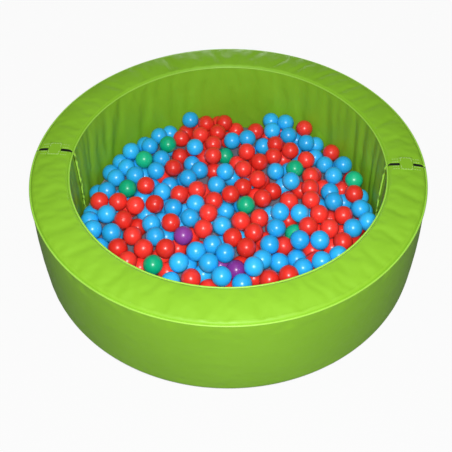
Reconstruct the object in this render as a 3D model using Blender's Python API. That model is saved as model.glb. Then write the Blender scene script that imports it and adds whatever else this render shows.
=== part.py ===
"""Round ball pit: two foam half rings in PVC covers, hinged by straps, with a loose mat and play balls.

Metres, +Z up. The origin is on the floor under the middle of the ring. The two halves part along X,
the front half lies at -Y and the back half at +Y. Straps over the two partings let the back half fold
up and over onto the front half. The mat lies inside on the floor and carries the balls.
"""

import math

import bmesh
import bpy
import numpy as np
from mathutils import Matrix, Vector

# Ring
OUTER_DIAMETER = 1.200
RING_HEIGHT = 0.300
WALL_THICKNESS = 0.120
PARTING_GAP = 0.010
TOP_EDGE_RADIUS = 0.012
BASE_EDGE_RADIUS = 0.005
RIM_CROWN = 0.003
WALL_BELLY = 0.004
RING_STEPS = 18
FOAM_BLOCK_STEPS = 6
CUT_TOLERANCE = 0.0000001
SMOOTH_ANGLE_DEG = 35

# Covers
COVER_THICKNESS = 0.001
FIT_GAP = 0.0003
PIPING_DIAMETER = 0.0045
PIPING_SIDES = 6

# Zip in the underside of each half, and its slider
ZIP_SLOT_WIDTH = 0.014
ZIP_TAPE_WIDTH = 0.026
ZIP_TAPE_THICKNESS = 0.0008
ZIP_TEETH_WIDTH = 0.006
ZIP_TEETH_HEIGHT = 0.001
ZIP_END_STEPS = 2
SLIDER_WIDTH = 0.009
SLIDER_LENGTH = 0.014
SLIDER_THICKNESS = 0.0007
SLIDER_PULL_WIDTH = 0.005
SLIDER_PULL_LENGTH = 0.020

# Hinge straps over the partings
STRAP_WIDTH = 0.040
STRAP_LENGTH = 0.056
STRAP_THICKNESS = 0.0012
FOLD_AXIS_RISE = 0.003

# Mat
MAT_THICKNESS = 0.025
MAT_CLEARANCE = 0.008
MAT_STEPS = 36

# Balls
BALL_DIAMETER = 0.060
BALL_GAP = 0.0005
BALL_REACH = 0.0012
COLOUR_REACH = 0.004
LINK_RADIUS = 0.004
GROUP_BALL_POINTS = 16
HIDDEN_BALL_POINTS = 12
SINGLE_BALL_POINTS = 42

# The eye that the photograph was taken from, in shares of the outer diameter, which turns a ball's
# pixel into its place
EYE_HEIGHT_SHARE = 1.3704
EYE_SETBACK_SHARE = 1.1831
EYE_SIDE_SHARE = 0.0071
EYE_TILT_DEG = 49.61
EYE_ROLL_DEG = 0.30
EYE_TURN_DEG = 4.4
PHOTO_MIDDLE_PX = 226.0
PHOTO_FOCAL_PX = 627.6

# How the balls come to rest
UPPER_LAYER_SHARE = 0.75
PLACE_GRID_SHARE = 0.2
PLACE_ROOM_SHARE = 0.88
SINK_SHARE = 0.0078
PULL_SHARE = 0.45
HOLD_SHARE = 0.8
LINK_PULL_SHARE = 0.3
PUSH_SHARE = 0.45
NEAR_SHARE = 0.3
SPREAD_STEPS = 150
SETTLE_STEPS = 450
LINK_STEPS = 350
CLEARING_STEPS = 6000
NEAR_EVERY = 12
OVERLAP_SHARE = 0.001

# Centres of the balls in the photograph, in pixels: those on top, and those partly covered by others.
# The lone ones have no other of their colour against them
RED_TOP_PX = [
    (207, 125), (225, 123.5), (218, 133), (182, 138), (201, 136), (257, 134), (213, 144.5),
    (213.5, 157), (247, 152), (273.5, 145), (288, 151.5), (274, 158), (181.5, 156.5), (175, 169), (304.5, 160.5),
    (258.5, 162.5), (243.5, 169.5), (257, 179.5), (309.5, 176.5), (198.5, 189.5), (243, 187.5),
    (271.5, 191), (307, 188.5), (181, 194), (231.5, 195), (213, 199), (99, 200.5), (122.5, 201.5),
    (139, 206), (158, 204), (262.5, 200), (287.5, 200.5), (309, 202), (210, 213), (258.5, 216), (316, 214),
    (339, 215), (126, 220.5), (240.5, 221), (202, 229.5), (306, 226.5), (326.5, 227), (135.5, 234),
    (255, 232.5), (233, 237.5), (338.5, 241), (121.5, 246), (146, 247), (167, 247), (245, 248), (131, 259),
    (190, 273.5), (266, 276), (286, 273),
]
RED_LONE_PX = [(302.5, 129.5), (149, 186), (350, 195), (172, 222.5)]
RED_LONE_COVERED_PX = [(329, 153)]
RED_COVERED_PX = [
    (235, 132), (187, 134), (266, 139), (205, 158), (282, 162), (237, 163), (213, 172), (340, 190),
    (298, 192), (205, 193), (327, 218), (286, 222), (141, 225), (283, 244), (180, 246), (307, 252), (329, 249),
    (310, 259), (352, 243), (241, 264), (143, 265), (170, 270), (254.5, 276), (211, 285), (231, 285),
]
BLUE_TOP_PX = [
    (287, 121.5), (274, 131), (285.5, 134.5), (162, 137), (232.5, 141), (246, 139), (304, 145.5),
    (314.5, 145.5), (152, 146), (197, 147), (134, 153), (163, 160), (192.5, 163.5), (128, 166), (322, 165),
    (340, 166), (158, 171), (200.5, 171), (225.5, 172), (274.5, 172), (137, 175.5), (119.5, 177), (331, 177),
    (189, 178.5), (289, 181), (171, 183), (216.5, 185.5), (111, 190), (164, 191), (326, 190), (195, 203.5),
    (330, 203), (176, 208), (226, 210.5), (277, 210.5), (356, 209), (110, 212.5), (296.5, 214), (191, 218),
    (155, 222), (221, 225), (365.5, 222), (97, 228), (349.5, 229), (274.5, 229.5), (115.5, 231.5), (157, 234),
    (213.5, 242.5), (296.5, 240), (317.5, 240), (266, 245.5), (195.5, 248), (226, 254), (178, 259.5),
    (207, 259.5), (277.5, 258.5), (254.5, 263), (320.5, 258.5), (299, 267), (220, 276), (245, 283),
]
BLUE_LONE_PX = [(192, 121.5)]
BLUE_COVERED_PX = [
    (147, 144), (296, 141), (261, 149), (233, 179), (145, 198), (342, 203), (91, 218), (98, 214), (149, 216),
    (169, 236), (105, 244), (297, 256), (334, 255), (190, 261), (204, 275), (172, 279),
]
GREEN_LONE_PX = [
    (169.5, 144), (146, 159.5), (293, 168.5), (350, 180.5), (130, 188), (245, 205), (157, 262.5),
]
GREEN_LONE_COVERED_PX = [(227, 157), (291, 231)]
PURPLE_LONE_PX = [(184, 235), (235, 269.5)]
PURPLE_LONE_COVERED_PX = [(221, 264)]

# Sizes that follow from those above
OUTER_RADIUS = OUTER_DIAMETER / 2
INNER_RADIUS = OUTER_RADIUS - WALL_THICKNESS
MID_RADIUS = OUTER_RADIUS - WALL_THICKNESS / 2
SKIN = COVER_THICKNESS + FIT_GAP
END_FACE = PARTING_GAP / 2
BODY_END = END_FACE + SKIN
ZIP_END_TURN = math.pi * ZIP_END_STEPS / RING_STEPS
TAPE_BOTTOM = COVER_THICKNESS + FIT_GAP
TAPE_TOP = TAPE_BOTTOM + ZIP_TAPE_THICKNESS
TEETH_TOP = TAPE_TOP + ZIP_TEETH_HEIGHT
MAT_RADIUS = INNER_RADIUS - MAT_CLEARANCE
BALL_RADIUS = BALL_DIAMETER / 2
BALL_SPACING = BALL_DIAMETER + BALL_GAP
BALL_FLOOR = MAT_THICKNESS + FIT_GAP + BALL_RADIUS
WALL_FLAT = INNER_RADIUS * (1 - math.cos(math.pi / RING_STEPS / 2))
BALL_ROOM = INNER_RADIUS - WALL_FLAT - BALL_RADIUS - BALL_GAP
FOLD_AXIS_HEIGHT = RING_HEIGHT + FOLD_AXIS_RISE

COVER_GREEN = ((0.33, 0.60, 0.05), 0.38)
PIPING_GREEN = ((0.40, 0.68, 0.09), 0.35)
FOAM_WHITE = ((0.82, 0.80, 0.70), 0.95)
MAT_GREY = ((0.60, 0.58, 0.66), 0.60)
ZIP_BLACK = ((0.03, 0.03, 0.03), 0.55)
BALL_COLOURS = {
    "red": (0.83, 0.04, 0.02),
    "blue": (0.03, 0.35, 0.90),
    "green": (0.01, 0.36, 0.16),
    "purple": (0.22, 0.03, 0.27),
}
BALL_ROUGHNESS = 0.25


# Scene


def clear_scene():
    """Removes whatever the file holds."""
    for obj in list(bpy.data.objects):
        bpy.data.objects.remove(obj, do_unlink=True)


def material(name, colour, roughness, metallic=0.0):
    """A plain surface of one colour."""
    made = bpy.data.materials.new(name)
    made.use_nodes = True
    shader = made.node_tree.nodes["Principled BSDF"]
    shader.inputs["Base Color"].default_value = (*colour, 1.0)
    shader.inputs["Roughness"].default_value = roughness
    shader.inputs["Metallic"].default_value = metallic
    return made


def pivot(name, place=(0.0, 0.0, 0.0), parent=None):
    """An empty that carries the pieces of one body, on the body's joint axis."""
    empty = bpy.data.objects.new(name, None)
    bpy.context.scene.collection.objects.link(empty)
    empty.parent = parent
    at = Vector(place)
    if parent is not None:
        at = at - world_place(parent)
    empty.location = at
    return empty


def world_place(obj):
    """Where an unturned object's origin is, through its parents."""
    place = obj.location.copy()
    while obj.parent is not None:
        obj = obj.parent
        place = place + obj.location
    return place


def piece(name, bm, finish, parent):
    """One named solid from a bmesh in world space, with its origin on its parent's."""
    at = world_place(parent)
    bmesh.ops.translate(bm, vec=-at, verts=bm.verts)
    bmesh.ops.recalc_face_normals(bm, faces=bm.faces)
    mesh = bpy.data.meshes.new(name)
    bm.to_mesh(mesh)
    bm.free()
    mesh.shade_smooth()
    mesh.set_sharp_from_angle(angle=math.radians(SMOOTH_ANGLE_DEG))
    mesh.materials.append(material(name, *finish))
    obj = bpy.data.objects.new(name, mesh)
    bpy.context.scene.collection.objects.link(obj)
    obj.parent = parent
    return obj


# Cross-section of the ring, as points of radius and height


def corner_arc(radius, height, edge_radius, offset, angles_deg):
    """Points on a rounded corner whose centre is at radius and height, pushed out by offset."""
    reach = edge_radius + offset
    turns = [math.radians(a) for a in angles_deg]
    return [(radius + reach * math.cos(a), height + reach * math.sin(a)) for a in turns]


def seam_turn_deg(edge_radius):
    """Half the turn that leaves a fit gap between two panels at a corner's seam."""
    return math.degrees(FIT_GAP / 2 / edge_radius)


def foam_corners():
    """Centres of the foam's four rounded corners."""
    top = RING_HEIGHT - SKIN - RIM_CROWN - TOP_EDGE_RADIUS
    base = SKIN + BASE_EDGE_RADIUS
    outer_face = OUTER_RADIUS - SKIN - WALL_BELLY
    inner_face = INNER_RADIUS + SKIN + WALL_BELLY
    return {
        "outer_top": (outer_face - TOP_EDGE_RADIUS, top),
        "inner_top": (inner_face + TOP_EDGE_RADIUS, top),
        "outer_base": (outer_face - BASE_EDGE_RADIUS, base),
        "inner_base": (inner_face + BASE_EDGE_RADIUS, base),
    }


def top_line(offset, trim_deg):
    """The rim's surface from the inner seam to the outer seam."""
    at = foam_corners()
    inner = corner_arc(*at["inner_top"], TOP_EDGE_RADIUS, offset, (135 - trim_deg, 90))
    outer = corner_arc(*at["outer_top"], TOP_EDGE_RADIUS, offset, (90, 45 + trim_deg))
    crown = (MID_RADIUS, RING_HEIGHT - SKIN + offset)
    return [*inner, crown, *outer]


def outer_line(offset, top_trim_deg, base_trim_deg):
    """The outer wall's surface from the top seam down to the base seam."""
    at = foam_corners()
    top = corner_arc(*at["outer_top"], TOP_EDGE_RADIUS, offset, (45 - top_trim_deg, 0))
    base = corner_arc(*at["outer_base"], BASE_EDGE_RADIUS, offset, (0, -45 + base_trim_deg))
    belly = (OUTER_RADIUS - SKIN + offset, RING_HEIGHT / 2)
    return [*top, belly, *base]


def inner_line(offset, top_trim_deg, base_trim_deg):
    """The inner wall's surface from the base seam up to the top seam."""
    at = foam_corners()
    base = corner_arc(*at["inner_base"], BASE_EDGE_RADIUS, offset, (225 - base_trim_deg, 180))
    top = corner_arc(*at["inner_top"], TOP_EDGE_RADIUS, offset, (180, 135 + top_trim_deg))
    belly = (INNER_RADIUS + SKIN - offset, RING_HEIGHT / 2)
    return [*base, belly, *top]


def outer_base_line(offset, trim_deg):
    """The underside from the outer base seam to the zip's slot."""
    at = foam_corners()
    corner = corner_arc(*at["outer_base"], BASE_EDGE_RADIUS, offset, (-45 - trim_deg, -90))
    return [*corner, (MID_RADIUS + ZIP_SLOT_WIDTH / 2, SKIN - offset)]


def inner_base_line(offset, trim_deg):
    """The underside from the zip's slot to the inner base seam."""
    at = foam_corners()
    corner = corner_arc(*at["inner_base"], BASE_EDGE_RADIUS, offset, (270, 225 + trim_deg))
    return [(MID_RADIUS - ZIP_SLOT_WIDTH / 2, SKIN - offset), *corner]


def strip(line, *trims):
    """A cover panel's section, from one of the lines above."""
    return line(FIT_GAP, *trims) + line(SKIN, *trims)[::-1]


def foam_section():
    """The foam's section, with the groove that makes room for the zip."""
    half_groove = ZIP_TAPE_WIDTH / 2 + FIT_GAP
    groove_top = TEETH_TOP + FIT_GAP
    groove = [
        (MID_RADIUS + half_groove, SKIN),
        (MID_RADIUS + half_groove, groove_top),
        (MID_RADIUS - half_groove, groove_top),
        (MID_RADIUS - half_groove, SKIN),
    ]
    outer = outer_line(0, 0, 0)
    inner = inner_line(0, 0, 0)
    base_outer = outer_base_line(0, 0)[1:2]
    base_inner = inner_base_line(0, 0)[1:2]
    return outer + base_outer + groove + base_inner + inner + top_line(0, 0)[1:-1]


def end_section():
    """The whole section of a half, as its end panel covers it."""
    outer = outer_line(SKIN, 0, 0)
    inner = inner_line(SKIN, 0, 0)
    base_outer = outer_base_line(SKIN, 0)[1:2]
    base_inner = inner_base_line(SKIN, 0)[1:2]
    return outer + base_outer + base_inner + inner + top_line(SKIN, 0)[1:-1]


def piping_section(corner):
    """The piping's round section, seated on a top corner's seam."""
    at = foam_corners()[corner]
    turn = 45 if corner == "outer_top" else 135
    reach = TOP_EDGE_RADIUS + SKIN + FIT_GAP + PIPING_DIAMETER / 2
    middle = corner_arc(*at, reach, 0, (turn,))[0]
    turns = [turn + 360 * k / PIPING_SIDES for k in range(PIPING_SIDES)]
    return corner_arc(*middle, PIPING_DIAMETER / 2, 0, turns)


def zip_section():
    """Tape with its teeth raised along the middle."""
    half_tape = ZIP_TAPE_WIDTH / 2
    half_teeth = ZIP_TEETH_WIDTH / 2
    right = [
        (half_tape, TAPE_BOTTOM),
        (half_tape, TAPE_TOP),
        (half_teeth, TAPE_TOP),
        (half_teeth, TEETH_TOP),
    ]
    left = [(-across, height) for across, height in reversed(right)]
    return [(MID_RADIUS + across, height) for across, height in right + left]


# Solids of the ring


def spun(section, start, turn, steps):
    """A section spun about Z from the start angle, with both ends capped."""
    bm = bmesh.new()
    outline = [(radius * math.cos(start), radius * math.sin(start), height) for radius, height in section]
    face = bm.faces.new([bm.verts.new(corner) for corner in outline])
    bmesh.ops.spin(bm, geom=[face], axis=(0, 0, 1), angle=turn, steps=steps)
    bmesh.ops.recalc_face_normals(bm, faces=bm.faces)
    return bm


def half_ring(section):
    """A section spun over the back half and cut square at both partings."""
    return cut_at_partings(spun(section, 0.0, math.pi, RING_STEPS))


def foam_block(step):
    """The foam from one of the ring's steps on, up to the next block or a parting."""
    join = FIT_GAP / 2 / MID_RADIUS
    start = math.pi * step / RING_STEPS
    end = math.pi * (step + FOAM_BLOCK_STEPS) / RING_STEPS
    if step > 0:
        start += join
    if step + FOAM_BLOCK_STEPS < RING_STEPS:
        end -= join
    return cut_at_partings(spun(foam_section(), start, end - start, FOAM_BLOCK_STEPS))


def cut_at_partings(bm):
    """Cuts a piece of the back half square at both partings."""
    everything = bm.verts[:] + bm.edges[:] + bm.faces[:]
    bmesh.ops.bisect_plane(
        bm,
        geom=everything,
        dist=CUT_TOLERANCE,
        plane_co=(0, BODY_END, 0),
        plane_no=(0, 1, 0),
        clear_inner=True,
    )
    rims = [edge for edge in bm.edges if edge.is_boundary]
    if rims:
        bmesh.ops.edgeloop_fill(bm, edges=rims)
    return bm


def zip_arc():
    """The zip's closed run, short of both partings."""
    steps = RING_STEPS - 2 * ZIP_END_STEPS
    return spun(zip_section(), ZIP_END_TURN, math.pi * steps / RING_STEPS, steps)


def plate(outline, low, high):
    """A flat piece from an outline in X and Y."""
    bm = bmesh.new()
    face = bm.faces.new([bm.verts.new((x, y, low)) for x, y in outline])
    raised = bmesh.ops.extrude_face_region(bm, geom=[face])["geom"]
    tops = [item for item in raised if isinstance(item, bmesh.types.BMVert)]
    bmesh.ops.translate(bm, vec=(0, 0, high - low), verts=tops)
    return bm


def zip_slider():
    """The slider's lower plate with its pull lying along the zip, at the zip's right end."""
    half_body = SLIDER_WIDTH / 2
    half_pull = SLIDER_PULL_WIDTH / 2
    tip = SLIDER_LENGTH + SLIDER_PULL_LENGTH
    right = [(half_body, 0), (half_body, SLIDER_LENGTH), (half_pull, SLIDER_LENGTH), (half_pull, tip)]
    outline = right + [(-x, y) for x, y in reversed(right)]
    bm = plate(outline, FIT_GAP, FIT_GAP + SLIDER_THICKNESS)
    bmesh.ops.translate(bm, vec=(MID_RADIUS, 0, 0), verts=bm.verts)
    bmesh.ops.rotate(bm, matrix=Matrix.Rotation(ZIP_END_TURN, 3, "Z"), verts=bm.verts)
    return bm


def end_panel(side):
    """The panel that closes a half at one parting, on the back half: side is 1 at +X and -1 at -X."""
    bm = bmesh.new()
    outline = [(side * radius, END_FACE, height) for radius, height in end_section()]
    face = bm.faces.new([bm.verts.new(corner) for corner in outline])
    raised = bmesh.ops.extrude_face_region(bm, geom=[face])["geom"]
    backs = [item for item in raised if isinstance(item, bmesh.types.BMVert)]
    bmesh.ops.translate(bm, vec=(0, COVER_THICKNESS, 0), verts=backs)
    return bm


def hinge_leaf(side):
    """The half of a hinge strap that is sewn on the back half's rim."""
    middle = side * MID_RADIUS
    low_x = middle - STRAP_WIDTH / 2
    high_x = middle + STRAP_WIDTH / 2
    near = FIT_GAP / 2
    far = STRAP_LENGTH / 2
    outline = [(low_x, near), (high_x, near), (high_x, far), (low_x, far)]
    base = RING_HEIGHT + FIT_GAP
    return plate(outline, base, base + STRAP_THICKNESS)


def make_half(prefix, turn_deg, body, slider_body):
    """All pieces of one half. The back half is made as it lies, and the front half is turned."""
    seam_top = seam_turn_deg(TOP_EDGE_RADIUS)
    seam_base = seam_turn_deg(BASE_EDGE_RADIUS)
    right, left = ("right", "left") if turn_deg == 0 else ("left", "right")
    pieces = {
        f"{right}_foam_block": (foam_block(0), FOAM_WHITE),
        "middle_foam_block": (foam_block(FOAM_BLOCK_STEPS), FOAM_WHITE),
        f"{left}_foam_block": (foam_block(2 * FOAM_BLOCK_STEPS), FOAM_WHITE),
        "rim_panel": (half_ring(strip(top_line, seam_top)), COVER_GREEN),
        "outer_wall_panel": (half_ring(strip(outer_line, seam_top, seam_base)), COVER_GREEN),
        "inner_wall_panel": (half_ring(strip(inner_line, seam_top, seam_base)), COVER_GREEN),
        "base_outer_strip": (half_ring(strip(outer_base_line, seam_base)), COVER_GREEN),
        "base_inner_strip": (half_ring(strip(inner_base_line, seam_base)), COVER_GREEN),
        "outer_piping": (half_ring(piping_section("outer_top")), PIPING_GREEN),
        "inner_piping": (half_ring(piping_section("inner_top")), PIPING_GREEN),
        "zip": (zip_arc(), ZIP_BLACK),
        f"{right}_end_panel": (end_panel(1), COVER_GREEN),
        f"{left}_end_panel": (end_panel(-1), COVER_GREEN),
        f"{right}_hinge_leaf": (hinge_leaf(1), COVER_GREEN),
        f"{left}_hinge_leaf": (hinge_leaf(-1), COVER_GREEN),
        "zip_slider": (zip_slider(), ZIP_BLACK),
    }
    turn = Matrix.Rotation(math.radians(turn_deg), 3, "Z")
    for name, (bm, finish) in pieces.items():
        bmesh.ops.rotate(bm, matrix=turn, verts=bm.verts)
        piece(f"{prefix}_{name}", bm, finish, slider_body if name == "zip_slider" else body)


# Mat


def disc(radius, low, high):
    """A round plate about Z."""
    turns = [2 * math.pi * k / MAT_STEPS for k in range(MAT_STEPS)]
    return plate([(radius * math.cos(a), radius * math.sin(a)) for a in turns], low, high)


def cup(radius, low, high, wall):
    """A round cover that is open below."""
    bm = disc(radius, low, high)
    bmesh.ops.recalc_face_normals(bm, faces=bm.faces)
    floor = [min(bm.faces, key=lambda face: face.calc_center_median().z)]
    bmesh.ops.inset_region(bm, faces=floor, thickness=wall, use_even_offset=True)
    sunk = bmesh.ops.extrude_face_region(bm, geom=floor)["geom"]
    bmesh.ops.delete(bm, geom=floor, context="FACES")
    verts = [item for item in sunk if isinstance(item, bmesh.types.BMVert)]
    bmesh.ops.translate(bm, vec=(0, 0, high - low - wall), verts=verts)
    return bm


def make_mat(body):
    """Foam disc, a top cover that comes down its side, and a base cover."""
    base_top = COVER_THICKNESS
    foam_low = base_top + FIT_GAP
    cover_top = MAT_THICKNESS
    foam_high = cover_top - SKIN
    piece("mat_base_cover", disc(MAT_RADIUS, 0.0, base_top), MAT_GREY, body)
    piece("mat_foam", disc(MAT_RADIUS - SKIN, foam_low, foam_high), FOAM_WHITE, body)
    piece("mat_top_cover", cup(MAT_RADIUS, foam_low, cover_top, COVER_THICKNESS), MAT_GREY, body)


# Where the balls lie


def sight_lines(pixels):
    """The eye's place and the unit directions in which it sees the pixels."""
    tilt, roll, turn = (math.radians(a) for a in (EYE_TILT_DEG, EYE_ROLL_DEG, EYE_TURN_DEG))
    ahead = np.array((0.0, math.cos(tilt), -math.sin(tilt)))
    level = np.array((1.0, 0.0, 0.0))
    above = np.cross(level, ahead)
    right = math.cos(roll) * level - math.sin(roll) * above
    up = math.sin(roll) * level + math.cos(roll) * above
    across = (np.array(pixels)[:, :1] - PHOTO_MIDDLE_PX) / PHOTO_FOCAL_PX
    down = (np.array(pixels)[:, 1:] - PHOTO_MIDDLE_PX) / PHOTO_FOCAL_PX
    lines = ahead + across * right - down * up
    lines /= np.linalg.norm(lines, axis=1)[:, None]
    turned = np.array(Matrix.Rotation(turn, 3, "Z"))
    eye = OUTER_DIAMETER * np.array((-EYE_SIDE_SHARE, -EYE_SETBACK_SHARE, EYE_HEIGHT_SHARE))
    return turned @ eye, lines @ turned.T


def on_lines(eye, lines, heights):
    """The places at the given heights along the sight lines."""
    return eye + lines * ((heights - eye[2]) / lines[:, 2])[:, None]


def near_pairs(places, reach):
    """Index pairs of balls whose centres are closer than reach."""
    first, second = np.triu_indices(len(places), 1)
    apart = places[first] - places[second]
    near = np.einsum("ij,ij->i", apart, apart) < reach * reach
    return first[near], second[near]


def shift_pairs(places, first, second, moves):
    """Moves the first ball of each pair along its move and the second one back."""
    for axis in range(3):
        places[:, axis] += np.bincount(first, moves[:, axis], len(places))
        places[:, axis] -= np.bincount(second, moves[:, axis], len(places))


def keep_inside(places):
    """Keeps the balls above the mat and inside the ring's inner wall."""
    places[:, 2] = np.maximum(places[:, 2], BALL_FLOOR)
    out = np.maximum(np.hypot(places[:, 0], places[:, 1]) / BALL_ROOM, 1.0)
    places[:, :2] /= out[:, None]


def push_apart(places, first, second):
    """Pushes touching balls apart. Returns the deepest overlap that it met."""
    apart = places[first] - places[second]
    length = np.linalg.norm(apart, axis=1)
    deep = length < BALL_SPACING
    if not deep.any():
        return 0.0
    depth = BALL_SPACING - length[deep]
    moves = apart[deep] * (PUSH_SHARE * depth / length[deep])[:, None]
    shift_pairs(places, first[deep], second[deep], moves)
    return depth.max()


def settle(places, eye, lines, steps, sink_share, links=()):
    """Lets the balls sink, held to their sight lines and drawn along their links, then clears overlaps."""
    seen = len(lines)
    tied = np.array(links, dtype=int).reshape(-1, 2)
    for step in range(steps + CLEARING_STEPS):
        ease = max(1 - step / steps, 0.0)
        hold = PULL_SHARE * max(1 - step / steps / HOLD_SHARE, 0.0)
        if step % NEAR_EVERY == 0:
            first, second = near_pairs(places, BALL_SPACING * (1 + NEAR_SHARE))
        if ease > 0:
            places[:, 2] -= sink_share * BALL_DIAMETER * ease
            along = np.einsum("ij,ij->i", places[:seen] - eye, lines)
            places[:seen] += (eye + lines * along[:, None] - places[:seen]) * hold
            apart = places[tied[:, 0]] - places[tied[:, 1]]
            length = np.linalg.norm(apart, axis=1)
            slack = np.maximum(length - BALL_SPACING, 0.0)
            moves = -apart * (LINK_PULL_SHARE * ease * slack / length)[:, None]
            shift_pairs(places, tied[:, 0], tied[:, 1], moves)
        push_apart(places, first, second)
        deepest = push_apart(places, first, second)
        keep_inside(places)
        if ease == 0 and step % NEAR_EVERY == 0 and deepest < BALL_GAP * OVERLAP_SHARE:
            return places
    return places


def hidden_places(places):
    """Places on the mat that have room for a ball under the seen ones, the emptiest first."""
    grid = PLACE_GRID_SHARE * BALL_DIAMETER
    reach = int(BALL_ROOM / grid)
    steps = range(-reach, reach + 1)
    spots = [(x * grid, y * grid, BALL_FLOOR) for x in steps for y in steps]
    spots = np.array([spot for spot in spots if math.hypot(spot[0], spot[1]) < BALL_ROOM])
    room = np.full(len(spots), np.inf)
    for place in places:
        room = np.minimum(room, np.linalg.norm(spots - place, axis=1))
    found = []
    while room.max() > PLACE_ROOM_SHARE * BALL_DIAMETER:
        spot = spots[room.argmax()]
        found.append(spot)
        room = np.minimum(room, np.linalg.norm(spots - spot, axis=1))
    return np.array(found).reshape(-1, 3)


def colour_hidden(colours, places, singles):
    """Gives each hidden ball the colour, red or blue, that joins the most groups around it."""
    colours = list(colours) + [None] * (len(places) - len(colours))
    group = list(range(len(places)))
    near = [[] for _ in places]
    for a, b in zip(*near_pairs(places, BALL_SPACING + COLOUR_REACH)):
        near[a].append(b)
        near[b].append(a)

    def top(ball):
        while group[ball] != ball:
            ball = group[ball]
        return ball

    def join(ball):
        for other in near[ball]:
            if colours[other] == colours[ball] and other not in singles:
                group[top(other)] = top(ball)

    for ball, colour in enumerate(colours):
        if colour and ball not in singles:
            join(ball)
    count = {"red": 0, "blue": 0}
    todo = [ball for ball, colour in enumerate(colours) if colour is None]
    while todo:
        options = []
        for ball in todo:
            for colour in count:
                same = [other for other in near[ball] if colours[other] == colour and other not in singles]
                joined = {top(other) for other in same}
                options.append((-len(joined), count[colour], ball, colour))
        _, _, ball, colour = min(options)
        colours[ball] = colour
        count[colour] += 1
        join(ball)
        todo.remove(ball)
    return colours


def shortest_links(balls, places):
    """The shortest set of links that joins all the balls, as pairs of balls."""
    at = places[balls]
    apart = np.linalg.norm(at[:, None] - at[None], axis=2)
    joined = np.zeros(len(balls), bool)
    joined[0] = True
    best = apart[0].copy()
    source = np.zeros(len(balls), int)
    links = []
    for _ in range(len(balls) - 1):
        new = np.where(joined, np.inf, best).argmin()
        links.append((balls[source[new]], balls[new]))
        joined[new] = True
        closer = apart[new] < best
        source[closer] = new
        best = np.minimum(best, apart[new])
    return links


# Solids of the balls


def sphere_points(count):
    """Directions spread evenly over a sphere along a spiral."""
    golden = math.pi * (3 - math.sqrt(5))
    found = []
    for k in range(count):
        height = 1 - (2 * k + 1) / count
        level = math.sqrt(1 - height * height)
        found.append((level * math.cos(golden * k), level * math.sin(golden * k), height))
    return np.array(found)


def link_corners(towards):
    """Offsets across a link's direction, for the three corners of a link."""
    side = np.cross(towards, (0, 0, 1) if abs(towards[2]) < math.cos(math.radians(30)) else (1, 0, 0))
    side /= np.linalg.norm(side)
    other = np.cross(towards, side)
    turns = [2 * math.pi * k / 3 for k in range(3)]
    return [LINK_RADIUS * (math.cos(a) * side + math.sin(a) * other) for a in turns]


def add_ball(bm, place, count, contacts, linked):
    """A ball's hull, with a corner at each contact and a facet facing each linked ball."""
    along = math.sqrt(BALL_RADIUS * BALL_RADIUS - LINK_RADIUS * LINK_RADIUS)
    keep_off = math.cos(math.pi / math.sqrt(count) / 2)
    directions = list(sphere_points(count))
    for towards in contacts + linked:
        directions = [point for point in directions if point @ towards < keep_off]
    corners = [place + BALL_RADIUS * point for point in directions + contacts]
    verts = [bm.verts.new(corner) for corner in corners]
    facets = []
    for towards in linked:
        sign = 1 if tuple(towards) > (0, 0, 0) else -1
        across = link_corners(towards * sign)
        facet = [bm.verts.new(place + along * towards + offset) for offset in across]
        facets.append(facet)
        verts += facet
    bmesh.ops.convex_hull(bm, input=verts, use_existing_faces=False)
    return facets


def contact_directions(ball, places, touching, skip):
    """Unit directions from a ball to what it touches: other balls, and the mat below."""
    found = []
    for other in touching[ball]:
        if other not in skip:
            apart = places[other] - places[ball]
            found.append(apart / np.linalg.norm(apart))
    if places[ball][2] < BALL_FLOOR + BALL_GAP:
        found.append(np.array((0.0, 0.0, -1.0)))
    return found


def ball_group(links, places, touching, point_counts):
    """Balls of one colour in one solid, joined by short links where they touch."""
    bm = bmesh.new()
    facets = {}
    for ball in sorted({ball for pair in links for ball in pair}):
        others = [b if a == ball else a for a, b in links if ball in (a, b)]
        linked = [(places[other] - places[ball]) for other in others]
        linked = [apart / np.linalg.norm(apart) for apart in linked]
        contacts = contact_directions(ball, places, touching, others)
        made = add_ball(bm, places[ball], point_counts[ball], contacts, linked)
        facets.update({(ball, other): facet for other, facet in zip(others, made)})
    for a, b in links:
        one, two = facets[a, b], facets[b, a]
        for facet in (one, two):
            face = bm.faces.get(facet)
            if face is None:
                raise ValueError("a link's facet is missing from its ball")
            bm.faces.remove(face)
        for k in range(3):
            bm.faces.new((one[k - 1], one[k], two[k], two[k - 1]))
    return bm


def ball_tables():
    """Each ball's pixel, colour, starting height and whether it is a node of its own."""
    upper = BALL_FLOOR + UPPER_LAYER_SHARE * BALL_DIAMETER
    rows = []
    for colour, pixels, height, alone in (
        ("red", RED_TOP_PX, upper, False),
        ("red", RED_COVERED_PX, BALL_FLOOR, False),
        ("red", RED_LONE_PX, upper, True),
        ("red", RED_LONE_COVERED_PX, BALL_FLOOR, True),
        ("blue", BLUE_TOP_PX, upper, False),
        ("blue", BLUE_COVERED_PX, BALL_FLOOR, False),
        ("blue", BLUE_LONE_PX, upper, True),
        ("green", GREEN_LONE_PX, upper, True),
        ("green", GREEN_LONE_COVERED_PX, BALL_FLOOR, True),
        ("purple", PURPLE_LONE_PX, upper, True),
        ("purple", PURPLE_LONE_COVERED_PX, BALL_FLOOR, True),
    ):
        rows += [(pixel, colour, height, alone) for pixel in pixels]
    return rows


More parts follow.
